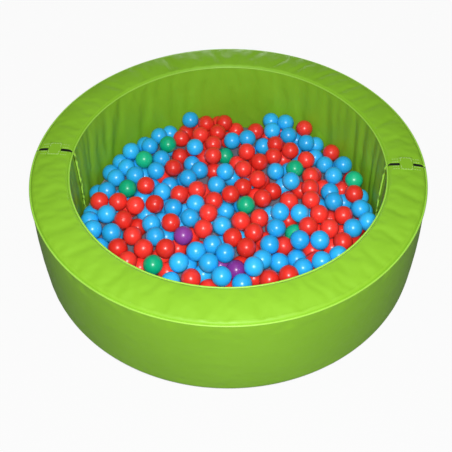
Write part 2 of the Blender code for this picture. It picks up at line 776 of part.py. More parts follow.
def lay_balls():
    """All balls at rest: their places and colours, the links of each colour, and the single balls."""
    pixels, colours, heights, alone = zip(*ball_tables())
    eye, lines = sight_lines(pixels)
    places = on_lines(eye, lines, np.array(heights))
    places = settle(places, eye, lines, SPREAD_STEPS, 0.0)
    places = np.vstack([places, hidden_places(places)])
    places = settle(places, eye, lines, SETTLE_STEPS, SINK_SHARE)
    singles = [ball for ball, single in enumerate(alone) if single]
    colours = colour_hidden(colours, places, singles)
    links = {}
    for colour in ("red", "blue"):
        balls = [ball for ball, name in enumerate(colours) if name == colour and ball not in singles]
        links[colour] = shortest_links(balls, places)
    places = settle(places, eye, lines, LINK_STEPS, SINK_SHARE, links["red"] + links["blue"])
    return places, colours, links, singles


def make_balls(body, single_body):
    """The linked red and the linked blue balls, and the single balls, each with its own finish."""
    places, colours, links, singles = lay_balls()
    touching = [[] for _ in places]
    for a, b in zip(*near_pairs(places, BALL_DIAMETER + BALL_REACH)):
        touching[a].append(b)
        touching[b].append(a)
    seen = len(ball_tables())
    point_counts = [GROUP_BALL_POINTS] * seen + [HIDDEN_BALL_POINTS] * (len(places) - seen)
    for colour, pairs in links.items():
        bm = ball_group(pairs, places, touching, point_counts)
        piece(f"{colour}_balls", bm, (BALL_COLOURS[colour], BALL_ROUGHNESS), body)
    for colour, finish in BALL_COLOURS.items():
        same = [ball for ball in singles if colours[ball] == colour]
        for number, ball in enumerate(same, 1):
            bm = bmesh.new()
            contacts = contact_directions(ball, places, touching, ())
            add_ball(bm, places[ball], SINGLE_BALL_POINTS, contacts, [])
            name = f"{colour}_ball_{number}"
            piece(name, bm, (finish, BALL_ROUGHNESS), single_body(name, places[ball]))


def main():
    clear_scene()
    front = pivot("front_half")
    back = pivot("back_half_fold_axis", (0.0, 0.0, FOLD_AXIS_HEIGHT), front)
    make_half("front", 180, front, pivot("front_zip_slider_axis", parent=front))
    make_half("back", 0, back, pivot("back_zip_slider_axis", (0.0, 0.0, 0.0), back))
    bed = pivot("mat_and_ball_bed", parent=front)
    make_mat(bed)
    make_balls(bed, lambda name, place: pivot(f"{name}_lift_axis", tuple(place), bed))


main()
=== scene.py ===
"""The looks of a round ball pit: two padded vinyl half rings, hinge straps, a mat and its play balls.

Metres, +Z up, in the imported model's frame. The middle of the ring is at the origin on the floor, the two
halves part along X, the front half lies at -Y and the back half at +Y.
"""

import logging
import math
from collections.abc import Iterable, Sequence
from dataclasses import dataclass, field
from enum import Enum

import bmesh
import bpy
import numpy as np
from mathutils import Matrix, Vector
from mathutils.bvhtree import BVHTree
from mathutils.kdtree import KDTree

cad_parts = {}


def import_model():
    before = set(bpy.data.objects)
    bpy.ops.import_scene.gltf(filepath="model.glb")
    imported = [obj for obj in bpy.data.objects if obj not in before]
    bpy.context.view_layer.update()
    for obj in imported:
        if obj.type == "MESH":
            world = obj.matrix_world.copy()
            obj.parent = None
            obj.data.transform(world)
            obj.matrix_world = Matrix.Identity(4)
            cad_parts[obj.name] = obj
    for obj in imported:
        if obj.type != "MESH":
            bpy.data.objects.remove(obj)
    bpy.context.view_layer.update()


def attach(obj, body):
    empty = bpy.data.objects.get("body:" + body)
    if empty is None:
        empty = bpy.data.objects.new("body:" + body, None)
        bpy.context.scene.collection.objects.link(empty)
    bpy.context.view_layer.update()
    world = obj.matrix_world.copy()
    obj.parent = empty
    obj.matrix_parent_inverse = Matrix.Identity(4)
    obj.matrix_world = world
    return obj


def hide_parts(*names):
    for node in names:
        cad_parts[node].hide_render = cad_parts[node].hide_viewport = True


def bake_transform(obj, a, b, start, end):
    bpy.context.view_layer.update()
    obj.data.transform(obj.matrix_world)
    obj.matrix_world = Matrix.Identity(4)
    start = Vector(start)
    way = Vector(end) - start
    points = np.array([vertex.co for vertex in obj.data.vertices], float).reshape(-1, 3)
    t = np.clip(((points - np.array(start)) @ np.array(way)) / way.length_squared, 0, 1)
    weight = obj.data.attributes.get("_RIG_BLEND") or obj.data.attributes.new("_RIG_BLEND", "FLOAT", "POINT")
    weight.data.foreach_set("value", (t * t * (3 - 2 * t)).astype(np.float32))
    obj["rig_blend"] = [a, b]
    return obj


log = logging.getLogger("ball_pit")

Colour = tuple[float, float, float]
Point = tuple[float, float, float]
FlatPoint = tuple[float, float]
Socket = bpy.types.NodeSocket
Material = bpy.types.Material

TOUCHING = 1e-6  # metres within which two places are one
WAVE_NODE_PACE = 20.0  # radians in each metre, where a wave texture's scale is 1


class Half(Enum):
    """The two halves of the ring, each with its body's prefix."""

    FRONT = "front"
    BACK = "back"

    @property
    def body(self) -> str:
        """The CAD body that the half rides on."""
        return f"{self.value}_half"

    @property
    def start(self) -> float:
        """The angle about Z at which the half begins."""
        return 0.0 if self is Half.BACK else math.pi

    @property
    def facing(self) -> int:
        """1 where the half lies at +Y, and -1 at -Y."""
        return 1 if self is Half.BACK else -1


class Side(Enum):
    """The two partings of the ring."""

    LEFT = -1
    RIGHT = 1

    @property
    def word(self) -> str:
        """The side's name in a node's name."""
        return self.name.lower()


class Panel(Enum):
    """The sewn panels of a cover, as they follow each other round its section."""

    OUTER_WALL = 0
    UNDERSIDE = 1
    INNER_WALL = 2
    RIM = 3


class Shell(Enum):
    """The moulded colours of the balls, each with its base colour."""

    RED = (0.88, 0.030, 0.018)
    BLUE = (0.020, 0.45, 0.97)
    GREEN = (0.001, 0.49, 0.235)
    PURPLE = (0.24, 0.030, 0.30)


# Materials


class Shading:
    """A material's node tree, built up from its Principled shader."""

    def __init__(self, name: str) -> None:
        """Starts a material.

        Args:
            name: Its name.
        """
        self.material = bpy.data.materials.new(name)
        self.material.use_nodes = True
        self.tree = self.material.node_tree
        self.shader = self.tree.nodes["Principled BSDF"]

    def set(self, **sockets: float | Colour) -> None:
        """Sets plain values on the shader's sockets.

        Args:
            sockets: Values by socket name in lower case, with _ for a space.
        """
        for name, value in sockets.items():
            socket = self.shader.inputs[name.replace("_", " ").title().replace("Ior", "IOR")]
            socket.default_value = (*value, 1.0) if isinstance(value, tuple) else value

    def node(
        self, kind: str, links: dict[str | int, object] | None = None, **settings: object
    ) -> bpy.types.Node:
        """Adds a node.

        Args:
            kind: The node's type, without ShaderNode in front.
            links: Values or sockets for its inputs, by name or number.
            settings: Its own properties.

        Returns:
            The new node.
        """
        made = self.tree.nodes.new(f"ShaderNode{kind}")
        for name, value in settings.items():
            setattr(made, name, value)
        for name, value in (links or {}).items():
            if isinstance(value, Socket):
                self.tree.links.new(value, made.inputs[name])
            else:
                made.inputs[name].default_value = value
        return made

    def join(self, source: Socket, socket: str) -> None:
        """Leads a node's output to a socket of the shader."""
        self.tree.links.new(source, self.shader.inputs[socket])

    def place(self) -> Socket:
        """The Object coordinates, in metres."""
        return self.node("TexCoord").outputs["Object"]

    def noise(self, at: Socket, scale: float, detail: float = 2.0, roughness: float = 0.5) -> Socket:
        """A cloudy pattern from 0 to 1.

        Args:
            at: The coordinates to read.
            scale: Features in each metre.
            detail: Finer layers on top.
            roughness: How strong those are.

        Returns:
            The pattern's output.
        """
        made = self.node("TexNoise", {"Vector": at, "Scale": scale, "Detail": detail, "Roughness": roughness})
        return made.outputs["Fac"]

    def spread(self, source: Socket, low: float, high: float, to_low: float, to_high: float) -> Socket:
        """Maps a range onto another, clamped.

        Args:
            source: The value to map.
            low: Where the range begins.
            high: Where it ends.
            to_low: What the range's beginning becomes.
            to_high: What its end becomes.

        Returns:
            The mapped value's output.
        """
        made = self.node("MapRange", {0: source, 1: low, 2: high, 3: to_low, 4: to_high})
        return made.outputs[0]

    def math(self, operation: str, *values: object) -> Socket:
        """One step of arithmetic.

        Args:
            operation: The step's name.
            values: Sockets or numbers.

        Returns:
            The result's output.
        """
        made = self.node("Math", dict(enumerate(values)), operation=operation)
        return made.outputs[0]

    def mix(self, share: Socket, one: object, other: object) -> Socket:
        """Mixes two colours.

        Args:
            share: How much of the other shows.
            one: A colour or a socket.
            other: A colour or a socket.

        Returns:
            The mixed colour's output.
        """
        made = self.node("Mix", {"Factor": share}, data_type="RGBA")
        for slot, value in (("A", one), ("B", other)):
            socket = next(s for s in made.inputs if s.name == slot and s.type == "RGBA")
            if isinstance(value, Socket):
                self.tree.links.new(value, socket)
            else:
                socket.default_value = (*value, 1.0)
        return next(s for s in made.outputs if s.type == "RGBA")

    def bump(
        self, height: Socket, distance: float, strength: float = 1.0, over: Socket | None = None
    ) -> Socket:
        """Raises the surface by a pattern.

        Args:
            height: The pattern, from 0 to 1.
            distance: Its height in metres.
            strength: How much of it shows.
            over: A bump's normal that this one adds to.

        Returns:
            The bump's normal.
        """
        links = {"Height": height, "Distance": distance, "Strength": strength}
        if over is not None:
            links["Normal"] = over
        return self.node("Bump", links).outputs["Normal"]


@dataclass(frozen=True)
class VinylFinish:
    """Vinyl-coated cloth: a soft sheen, a pebble grain, faint clouding, and stitching beside its seams."""

    name: str
    colour: Colour
    deep: Colour
    roughness: float = 0.52
    rubbed: tuple[float, float] = (-0.05, 0.07)
    specular: float = 0.30
    cloud_scale: float = 5.0
    rub_scale: float = 60.0
    softness_scale: float = 22.0
    softness_height: float = 0.0016
    grain: float = 850.0
    grain_height: float = 0.00012
    seams: tuple[float, ...] = ()
    stitch_length: float = 0.0045
    stitch_offset: float = 0.0060
    stitch_edges: tuple[float, float] = (0.0003, 0.0009)
    stitch_height: float = 0.0004

    def material(self) -> Material:
        """The finish as a material. Its UV map runs along the seams and across them, in metres.

        Returns:
            The new material.
        """
        shading = Shading(self.name)
        at = shading.place()
        cloud = shading.spread(shading.noise(at, self.cloud_scale, 3.0), 0.35, 0.65, 0.0, 1.0)
        shading.join(shading.mix(cloud, self.deep, self.colour), "Base Color")
        rub = shading.noise(at, self.rub_scale, 4.0, 0.6)
        sheens = [self.roughness + change for change in self.rubbed]
        shading.join(shading.spread(rub, 0.3, 0.7, *sheens), "Roughness")
        shading.set(specular_ior_level=self.specular)
        soft = shading.bump(shading.noise(at, self.softness_scale, 2.0), self.softness_height, 0.5)
        pebble = shading.node("TexVoronoi", {"Vector": at, "Scale": self.grain}, feature="SMOOTH_F1")
        grained = shading.bump(pebble.outputs["Distance"], self.grain_height, 0.6, soft)
        shading.join(self.stitched(shading, grained), "Normal")
        return shading.material

    def stitched(self, shading: Shading, under: Socket) -> Socket:
        """Adds a row of stitches on each side of every seam.

        Args:
            shading: The material being built.
            under: The normal that the stitches lie on.

        Returns:
            The normal with the stitches on it.
        """
        if not self.seams:
            return under
        uv = shading.node("SeparateXYZ", {0: shading.node("UVMap", uv_map="run").outputs[0]})
        beside = [seam + side * self.stitch_offset for seam in self.seams for side in (-1, 1)]
        nearest = None
        for row in beside:
            gap = shading.math("ABSOLUTE", shading.math("SUBTRACT", uv.outputs["Y"], row))
            nearest = gap if nearest is None else shading.math("MINIMUM", nearest, gap)
        row_mask = shading.spread(nearest, *self.stitch_edges, 1.0, 0.0)
        pace = 2 * math.pi / self.stitch_length
        wave = shading.math("SINE", shading.math("MULTIPLY", uv.outputs["X"], pace))
        thread = shading.math("MULTIPLY", row_mask, shading.spread(wave, -0.6, -0.2, 0.0, 1.0))
        return shading.bump(thread, self.stitch_height, 0.8, under)


@dataclass(frozen=True)
class MouldedFinish:
    """Blown plastic: glossy, with a mould seam, a vent mark, scuffs and a shade that varies by ball."""

    name: str
    colour: Colour
    roughness: float = 0.30
    scuffed: float = 0.12
    scuff_scale: float = 130.0
    light: tuple[float, float] = (1.10, 0.012)
    dark: float = 0.84
    seam_edges: tuple[float, float] = (0.004, 0.020)
    vent_edges: tuple[float, float] = (0.985, 0.993)
    mark_height: float = 0.0004
    wave_scale: float = 45.0
    wave_height: float = 0.0008

    def material(self) -> Material:
        """The finish as a material. It reads each ball's own directions and shade from attributes.

        Returns:
            The new material.
        """
        shading = Shading(self.name)
        at = shading.place()
        own = shading.node("Attribute", attribute_name="moulding").outputs["Vector"]
        shade = shading.node("Attribute", attribute_name="shade").outputs["Fac"]
        gain, lift = self.light
        light = tuple(min(1.0, gain * value + lift) for value in self.colour)
        dark = tuple(self.dark * value for value in self.colour)
        shading.join(shading.mix(shade, dark, light), "Base Color")
        scuffs = shading.noise(at, self.scuff_scale, 5.0, 0.65)
        dull = self.roughness + self.scuffed
        shading.join(shading.spread(scuffs, 0.45, 0.75, self.roughness, dull), "Roughness")
        shading.set(specular_ior_level=0.5)
        turned = shading.node("SeparateXYZ", {0: own})
        height = turned.outputs["Z"]
        seam = shading.spread(shading.math("ABSOLUTE", height), *self.seam_edges, 1.0, 0.0)
        vent = shading.spread(height, *self.vent_edges, 0.0, 1.0)
        marks = shading.bump(shading.math("SUBTRACT", seam, vent), self.mark_height, 0.7)
        wavy = shading.bump(shading.noise(at, self.wave_scale, 1.0), self.wave_height, 0.35, marks)
        shading.join(wavy, "Normal")
        return shading.material


@dataclass(frozen=True)
class WovenFinish:
    """Plain woven cloth: crossing threads, dull, with a few faded patches."""

    name: str
    colour: Colour
    thread_pace: float = 1400.0
    thread_height: float = 0.0002
    faded_gain: float = 1.5
    fading_scale: float = 35.0
    roughness: float = 0.85
    specular: float = 0.2

    def material(self) -> Material:
        """The finish as a material.

        Returns:
            The new material.
        """
        shading = Shading(self.name)
        at = shading.place()
        weave = None
        inputs = {"Vector": at, "Scale": self.thread_pace / WAVE_NODE_PACE, "Distortion": 0.4}
        for direction in ("X", "Y", "Z"):
            wave = shading.node("TexWave", inputs, bands_direction=direction).outputs["Fac"]
            weave = wave if weave is None else shading.math("MULTIPLY", weave, wave)
        faded = shading.spread(shading.noise(at, self.fading_scale, 3.0), 0.4, 0.7, 0.0, 1.0)
        lighter = tuple(min(1.0, self.faded_gain * value) for value in self.colour)
        shading.join(shading.mix(faded, self.colour, lighter), "Base Color")
        shading.set(roughness=self.roughness, specular_ior_level=self.specular)
        shading.join(shading.bump(weave, self.thread_height, 0.6), "Normal")
        return shading.material


@dataclass(frozen=True)
class ZipFinish:
    """A coil zip that follows a circle: glossy coils down the middle of a woven tape."""

    name: str
    tape: Colour
    coil: Colour
    middle_radius: float
    coil_width: float = 0.006
    coil_edge: float = 0.0003
    coil_pitch: float = 0.0024
    coil_lean: float = 900.0
    coil_height: float = 0.0006
    coil_groove_shade: float = 0.3
    tape_scale: float = 90.0
    tape_height: float = 0.0001
    tape_weave_shade: float = 0.7
    roughness: float = 0.75
    coil_roughness: float = 0.35

    def material(self) -> Material:
        """The finish as a material.

        Returns:
            The new material.
        """
        shading = Shading(self.name)
        at = shading.place()
        axes = shading.node("SeparateXYZ", {0: at})
        flat = shading.node("CombineXYZ", {"X": axes.outputs["X"], "Y": axes.outputs["Y"]})
        radius = shading.node("VectorMath", {0: flat.outputs[0]}, operation="LENGTH").outputs["Value"]
        aside = shading.math("ABSOLUTE", shading.math("SUBTRACT", radius, self.middle_radius))
        half = self.coil_width / 2
        on_coil = shading.spread(aside, half, half + self.coil_edge, 1.0, 0.0)
        turn = shading.math("ARCTAN2", axes.outputs["Y"], axes.outputs["X"])
        pace = 2 * math.pi * self.middle_radius / self.coil_pitch
        lean = shading.math("MULTIPLY", shading.math("SUBTRACT", radius, self.middle_radius), self.coil_lean)
        turns = shading.math("ADD", shading.math("MULTIPLY", turn, pace), lean)
        coil = shading.spread(shading.math("SINE", turns), -1.0, 1.0, 0.0, 1.0)
        wave = shading.node("TexWave", {"Vector": at, "Scale": self.tape_scale, "Distortion": 1.5})
        weave = wave.outputs["Fac"]
        # The tape darker in the weave's low parts and the coil darker between its turns: painted shade in the
        # grooves.
        tape_colour = shading.mix(weave, tuple(self.tape_weave_shade * value for value in self.tape), self.tape)
        coil_colour = shading.mix(coil, tuple(self.coil_groove_shade * value for value in self.coil), self.coil)
        shading.join(shading.mix(on_coil, tape_colour, coil_colour), "Base Color")
        shading.join(shading.spread(on_coil, 0.0, 1.0, self.roughness, self.coil_roughness), "Roughness")
        relief = shading.math("MULTIPLY", coil, on_coil)
        woven = shading.bump(weave, self.tape_height, 0.5)
        shading.join(shading.bump(relief, self.coil_height, 0.9, woven), "Normal")
        return shading.material


@dataclass(frozen=True)
class MetalFinish:
    """Painted metal, worn a little brighter in patches."""

    name: str
    colour: Colour
    worn: Colour
    wear_scale: float = 400.0
    roughness: float = 0.35

    def material(self) -> Material:
        """The finish as a material.

        Returns:
            The new material.
        """
        shading = Shading(self.name)
        wear = shading.spread(shading.noise(shading.place(), self.wear_scale, 4.0), 0.5, 0.7, 0.0, 1.0)
        shading.join(shading.mix(wear, self.colour, self.worn), "Base Color")
        shading.set(roughness=self.roughness, metallic=1.0)
        return shading.material


@dataclass(frozen=True)
class ThreadFinish:
    """Twisted sewing thread: pale, dull, with the twist's fine ribs."""

    name: str
    colour: Colour
    twist: float = 900.0
    twist_height: float = 0.0001
    # How dark the painted shade in the twist's grooves is.
    depth: float = 0.75
    roughness: float = 0.7
    specular: float = 0.3

    def material(self) -> Material:
        """The finish as a material.

        Returns:
            The new material.
        """
        shading = Shading(self.name)
        at = shading.place()
        wave = shading.node("TexWave", {"Vector": at, "Scale": self.twist, "Distortion": 2.0})
        ribs = wave.outputs["Fac"]
        # Darker in the twist's grooves, where the ribs are low: painted shade.
        deep = tuple(self.depth * value for value in self.colour)
        shading.join(shading.mix(ribs, deep, self.colour), "Base Color")
        shading.set(roughness=self.roughness, specular_ior_level=self.specular)
        shading.join(shading.bump(ribs, self.twist_height, 0.5), "Normal")
        return shading.material


def redressed(node: str, finish: Material) -> None:
    """Gives a CAD node that stays its finish, by its material slots alone.

    Args:
        node: The node's name.
        finish: Its material.
    """
    obj = bpy.data.objects[node]
    for slot in obj.material_slots:
        slot.material = finish
    log.info("%s: its own shape, finish %s", node, finish.name)


# Making pieces


def finished(name: str, bm: bmesh.types.BMesh, finish: Material, levels: int = 0) -> bpy.types.Object:
    """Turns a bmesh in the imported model's frame into a smooth object at the origin.

    Args:
        name: The piece's name.
        bm: Its shape, freed afterwards.
        finish: Its material.
        levels: Levels of subdivision.

    Returns:
        The new object.
    """
    mesh = bpy.data.meshes.new(name)
    bm.to_mesh(mesh)
    bm.free()
    mesh.shade_smooth()
    mesh.materials.append(finish)
    obj = bpy.data.objects.new(name, mesh)
    bpy.context.scene.collection.objects.link(obj)
    if levels:
        subdivided(obj, levels)
    return obj


def subdivided(obj: bpy.types.Object, levels: int) -> None:
    """Adds a live subdivision surface, the same in the viewport and in renders.

    Args:
        obj: The piece.
        levels: Levels of subdivision.
    """
    subdivision = obj.modifiers.new("subdivision", "SUBSURF")
    subdivision.levels = levels
    subdivision.render_levels = levels


def placed(obj: bpy.types.Object, body: str, nodes: Iterable[str] = ()) -> None:
    """Lets a piece ride on a body and stand for CAD nodes.

    Args:
        obj: The piece.
        body: The CAD body that carries it.
        nodes: The CAD nodes that it replaces.
    """
    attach(obj, body)
    if nodes:
        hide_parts(*nodes)
    log.info("%s: %d faces, on %s", obj.name, len(obj.data.polygons), body)


def arc(middle: FlatPoint, radius: float, start_deg: float, end_deg: float, steps: int) -> list[FlatPoint]:
    """Points on an arc in radius and height, both ends included.

    Args:
        middle: The arc's middle.
        radius: Its radius.
        start_deg: The angle of its first point, from the way outwards.
        end_deg: The angle of its last point.
        steps: Steps from the first to the last.

    Returns:
        The points.
    """
    turns = [math.radians(start_deg + (end_deg - start_deg) * k / steps) for k in range(steps + 1)]
    return [(middle[0] + radius * math.cos(a), middle[1] + radius * math.sin(a)) for a in turns]


def run_between(start: FlatPoint, end: FlatPoint, steps: int, rise: float = 0.0) -> list[FlatPoint]:
    """Points between two others, both left out.

    Args:
        start: The point before the first.
        end: The point after the last.
        steps: Steps from start to end.
        rise: How far the run swells to the left of its way.

    Returns:
        The points.
    """
    across = (end[0] - start[0], end[1] - start[1])
    length = math.hypot(*across)
    left = (-across[1] / length, across[0] / length)
    found = []
    for k in range(1, steps):
        share = k / steps
        swell = 4 * rise * share * (1 - share)
        sideways = start[0] + share * across[0] + swell * left[0]
        upwards = start[1] + share * across[1] + swell * left[1]
        found.append((sideways, upwards))
    return found


@dataclass(frozen=True)
class Thread:
    """Stitches of a sewing thread, laid in straight rows."""

    length: float = 0.0046
    pitch: float = 0.0068
    radius: float = 0.0006
    sides: int = 6
    rings: int = 4

    def row(self, bm: bmesh.types.BMesh, start: Sequence[float], end: Sequence[float]) -> None:
        """Lays a row of stitches from one place to another.

        Args:
            bm: The shape they are added to.
            start: Where the row begins.
            end: Where it ends.
        """
        first = Vector(start)
        along = Vector(end) - first
        count = max(1, round(along.length / self.pitch))
        turn = along.to_track_quat("X", "Z").to_matrix().to_4x4()
        size = Matrix.Diagonal((self.length / 2, self.radius, self.radius, 1.0))
        for number in range(count):
            place = Matrix.Translation(first + along * ((number + 0.5) / count))
            bmesh.ops.create_uvsphere(
                bm, u_segments=self.sides, v_segments=self.rings, radius=1.0, matrix=place @ turn @ size
            )


@dataclass(frozen=True)
class Stuffing:
    """The cloth simulation that swells a padded cover between its seams."""

    pressure: float = 4.0
    slack: float = 0.012
    quality: int = 5
    mass: float = 0.2
    stretch_stiffness: float = 40.0
    shear_stiffness: float = 20.0
    bending_stiffness: float = 1.5
    frames: int = 20
    unevenness: float = 0.0003
    seed: int = 3

    def swell(self, obj: bpy.types.Object, held: Sequence[int]) -> np.ndarray:
        """Runs the simulation on a plain mesh object and takes it off again.

        Args:
            obj: The cover, without other modifiers.
            held: The points that the seams hold.

        Returns:
            How far each point has moved.
        """
        mesh = obj.data
        rest = np.empty(3 * len(mesh.vertices))
        mesh.vertices.foreach_get("co", rest)
        rest = rest.reshape(-1, 3)
        start = rest + np.random.default_rng(self.seed).normal(scale=self.unevenness, size=rest.shape)
        start[list(held)] = rest[list(held)]
        mesh.vertices.foreach_set("co", start.ravel())
        group = obj.vertex_groups.new(name="held")
        group.add(list(held), 1.0, "REPLACE")
        cloth = obj.modifiers.new("cloth", "CLOTH")
        cloth.point_cache.frame_start = 1
        cloth.point_cache.frame_end = self.frames
        cloth.collision_settings.use_collision = False
        settings = cloth.settings
        settings.quality = self.quality
        settings.mass = self.mass
        settings.tension_stiffness = self.stretch_stiffness
        settings.compression_stiffness = self.stretch_stiffness
        settings.shear_stiffness = self.shear_stiffness
        settings.bending_stiffness = self.bending_stiffness
        settings.use_pressure = True
        settings.uniform_pressure_force = self.pressure
        settings.shrink_min = -self.slack
        settings.vertex_group_mass = group.name
        settings.effector_weights.gravity = 0.0
        scene = bpy.context.scene
        for frame in range(1, self.frames + 1):
            scene.frame_set(frame)
        evaluated = obj.evaluated_get(bpy.context.evaluated_depsgraph_get())
        swollen = np.empty(rest.size)
        evaluated.data.vertices.foreach_get("co", swollen)
        obj.modifiers.remove(cloth)
        obj.vertex_groups.remove(group)
        mesh.vertices.foreach_set("co", rest.ravel())
        scene.frame_set(1)
        return swollen.reshape(-1, 3) - rest


@dataclass(frozen=True)
class RingForm:
    """The ring's sizes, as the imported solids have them."""

    outer_radius: float = 0.600
    inner_radius: float = 0.480
    height: float = 0.300
    end_face: float = 0.005
    edge_radius: float = 0.012
    base_radius: float = 0.005
    crown: float = 0.003
    belly: float = 0.004
    end_swell: float = 0.0032
    end_swell_reach: float = 0.014
    slot_width: float = 0.016
    slot_depth: float = 0.0026
    turn_steps: int = 168
    wall_steps: int = 27
    rim_steps: int = 11
    strip_steps: int = 5
    edge_steps: int = 3
    base_edge_steps: int = 2
    seam_deg: float = 45.0
    end_rounding: float = 0.0028
    end_profile: tuple[FlatPoint, ...] = ((1.0, 0.0), (0.43, 0.1), (0.1, 0.55), (0.0, 1.0))

    @property
    def mid_radius(self) -> float:
        """The radius halfway through the wall."""
        return (self.outer_radius + self.inner_radius) / 2

    @property
    def wall_top(self) -> float:
        """The height at which both walls begin to round over."""
        return self.height - self.crown - self.edge_radius

    def lines(self) -> dict[Panel, list[FlatPoint]]:
        """The cover's section by panel, from the outer top seam down, under, up and back over the rim.

        Returns:
            Points of radius and height for each panel.
        """
        face_out = self.outer_radius - self.belly
        face_in = self.inner_radius + self.belly
        outer_top = (face_out - self.edge_radius, self.wall_top)
        inner_top = (face_in + self.edge_radius, self.wall_top)
        outer_base = (face_out - self.base_radius, self.base_radius)
        inner_base = (face_in + self.base_radius, self.base_radius)
        seam = self.seam_deg
        down = arc(outer_top, self.edge_radius, seam, 0, self.edge_steps)
        foot = arc(outer_base, self.base_radius, 0, -90, self.base_edge_steps)
        slot_out = self.mid_radius + self.slot_width / 2
        slot_in = self.mid_radius - self.slot_width / 2
        slot = [(slot_out, 0.0), (slot_out, self.slot_depth), (self.mid_radius, self.slot_depth)]
        slot += [(slot_in, self.slot_depth), (slot_in, 0.0)]
        heel = arc(inner_base, self.base_radius, -90, -180, self.base_edge_steps)
        up = arc(inner_top, self.edge_radius, 180, 180 - seam, self.edge_steps)
        over_in = arc(inner_top, self.edge_radius, 180 - seam, 90, self.edge_steps)[1:]
        over_out = arc(outer_top, self.edge_radius, 90, seam, self.edge_steps)[:-1]
        outer_strip = run_between(foot[-1], slot[0], self.strip_steps)
        inner_strip = run_between(slot[-1], heel[0], self.strip_steps)
        return {
            Panel.OUTER_WALL: down + run_between(down[-1], foot[0], self.wall_steps, self.belly) + foot[:1],
            Panel.UNDERSIDE: foot[1:] + outer_strip + slot + inner_strip + heel[:-1],
            Panel.INNER_WALL: heel[-1:] + run_between(heel[-1], up[0], self.wall_steps, self.belly) + up,
            Panel.RIM: over_in + run_between(over_in[-1], over_out[0], self.rim_steps, self.crown) + over_out,
        }

    def section(self) -> list[FlatPoint]:
        """The cover's whole closed section."""
        return [point for line in self.lines().values() for point in line]

    def spans(self) -> dict[Panel, tuple[float, float]]:
        """Where each panel begins and ends along the section.

        Returns:
            Both lengths for each panel, from the section's first point.
        """
        section = self.section()
        lengths = [0.0]
        for one, other in zip(section, section[1:]):
            lengths.append(lengths[-1] + math.dist(one, other))
        found = {}
        first = 0
        for panel, line in self.lines().items():
            found[panel] = (lengths[first], lengths[first + len(line) - 1])
            first += len(line)
        return found

    def swollen_end(self, bm: bmesh.types.BMesh, facing: int) -> None:
        """Lets the stuffed corners of both ends swell into the parting's gap, beside the two walls.

        Args:
            bm: The shape to swell.
            facing: 1 for the back half, and -1 for the front one.
        """
        step = self.outer_radius * math.pi / self.turn_steps
        for vert in bm.verts:
            away = vert.co.y * facing - self.end_face
            if away < step:
                radius = math.hypot(vert.co.x, vert.co.y)
                from_wall = min(abs(self.outer_radius - radius), abs(radius - self.inner_radius))
                share = max(0.0, 1 - from_wall / self.end_swell_reach) * (1 - max(away, 0.0) / step)
                vert.co.y -= facing * self.end_swell * share * (2 - share)


@dataclass(frozen=True)
class Fold:
    """A soft fold that runs over a panel, up its wall or out over its rim.

    A positive depth stands proud. The shares say where it fades out, from the panel's lower or inner
    edge to the other, and the lean is how far the fold drifts round the ring on the way.
    """

    azimuth_deg: float
    width_deg: float
    depth: float
    low_share: float = 0.0
    high_share: float = 1.0
    lean_deg: float = 0.0

    def rise(self, azimuth_deg: np.ndarray, share: np.ndarray) -> np.ndarray:
        """How far the fold lifts the cloth.

        Args:
            azimuth_deg: Where the points are round the ring.
            share: Where they are across the panel, from 0 to 1.

        Returns:
            The lift of each point in metres.
        """
        middle = self.azimuth_deg + self.lean_deg * (1 - share)
        away = (azimuth_deg - middle + 180) % 360 - 180
        ridge = np.exp(-((away / self.width_deg) ** 2))
        across = np.clip((share - self.low_share) / (self.high_share - self.low_share), 0, 1)
        return self.depth * ridge * np.sin(math.pi * across) ** 0.7


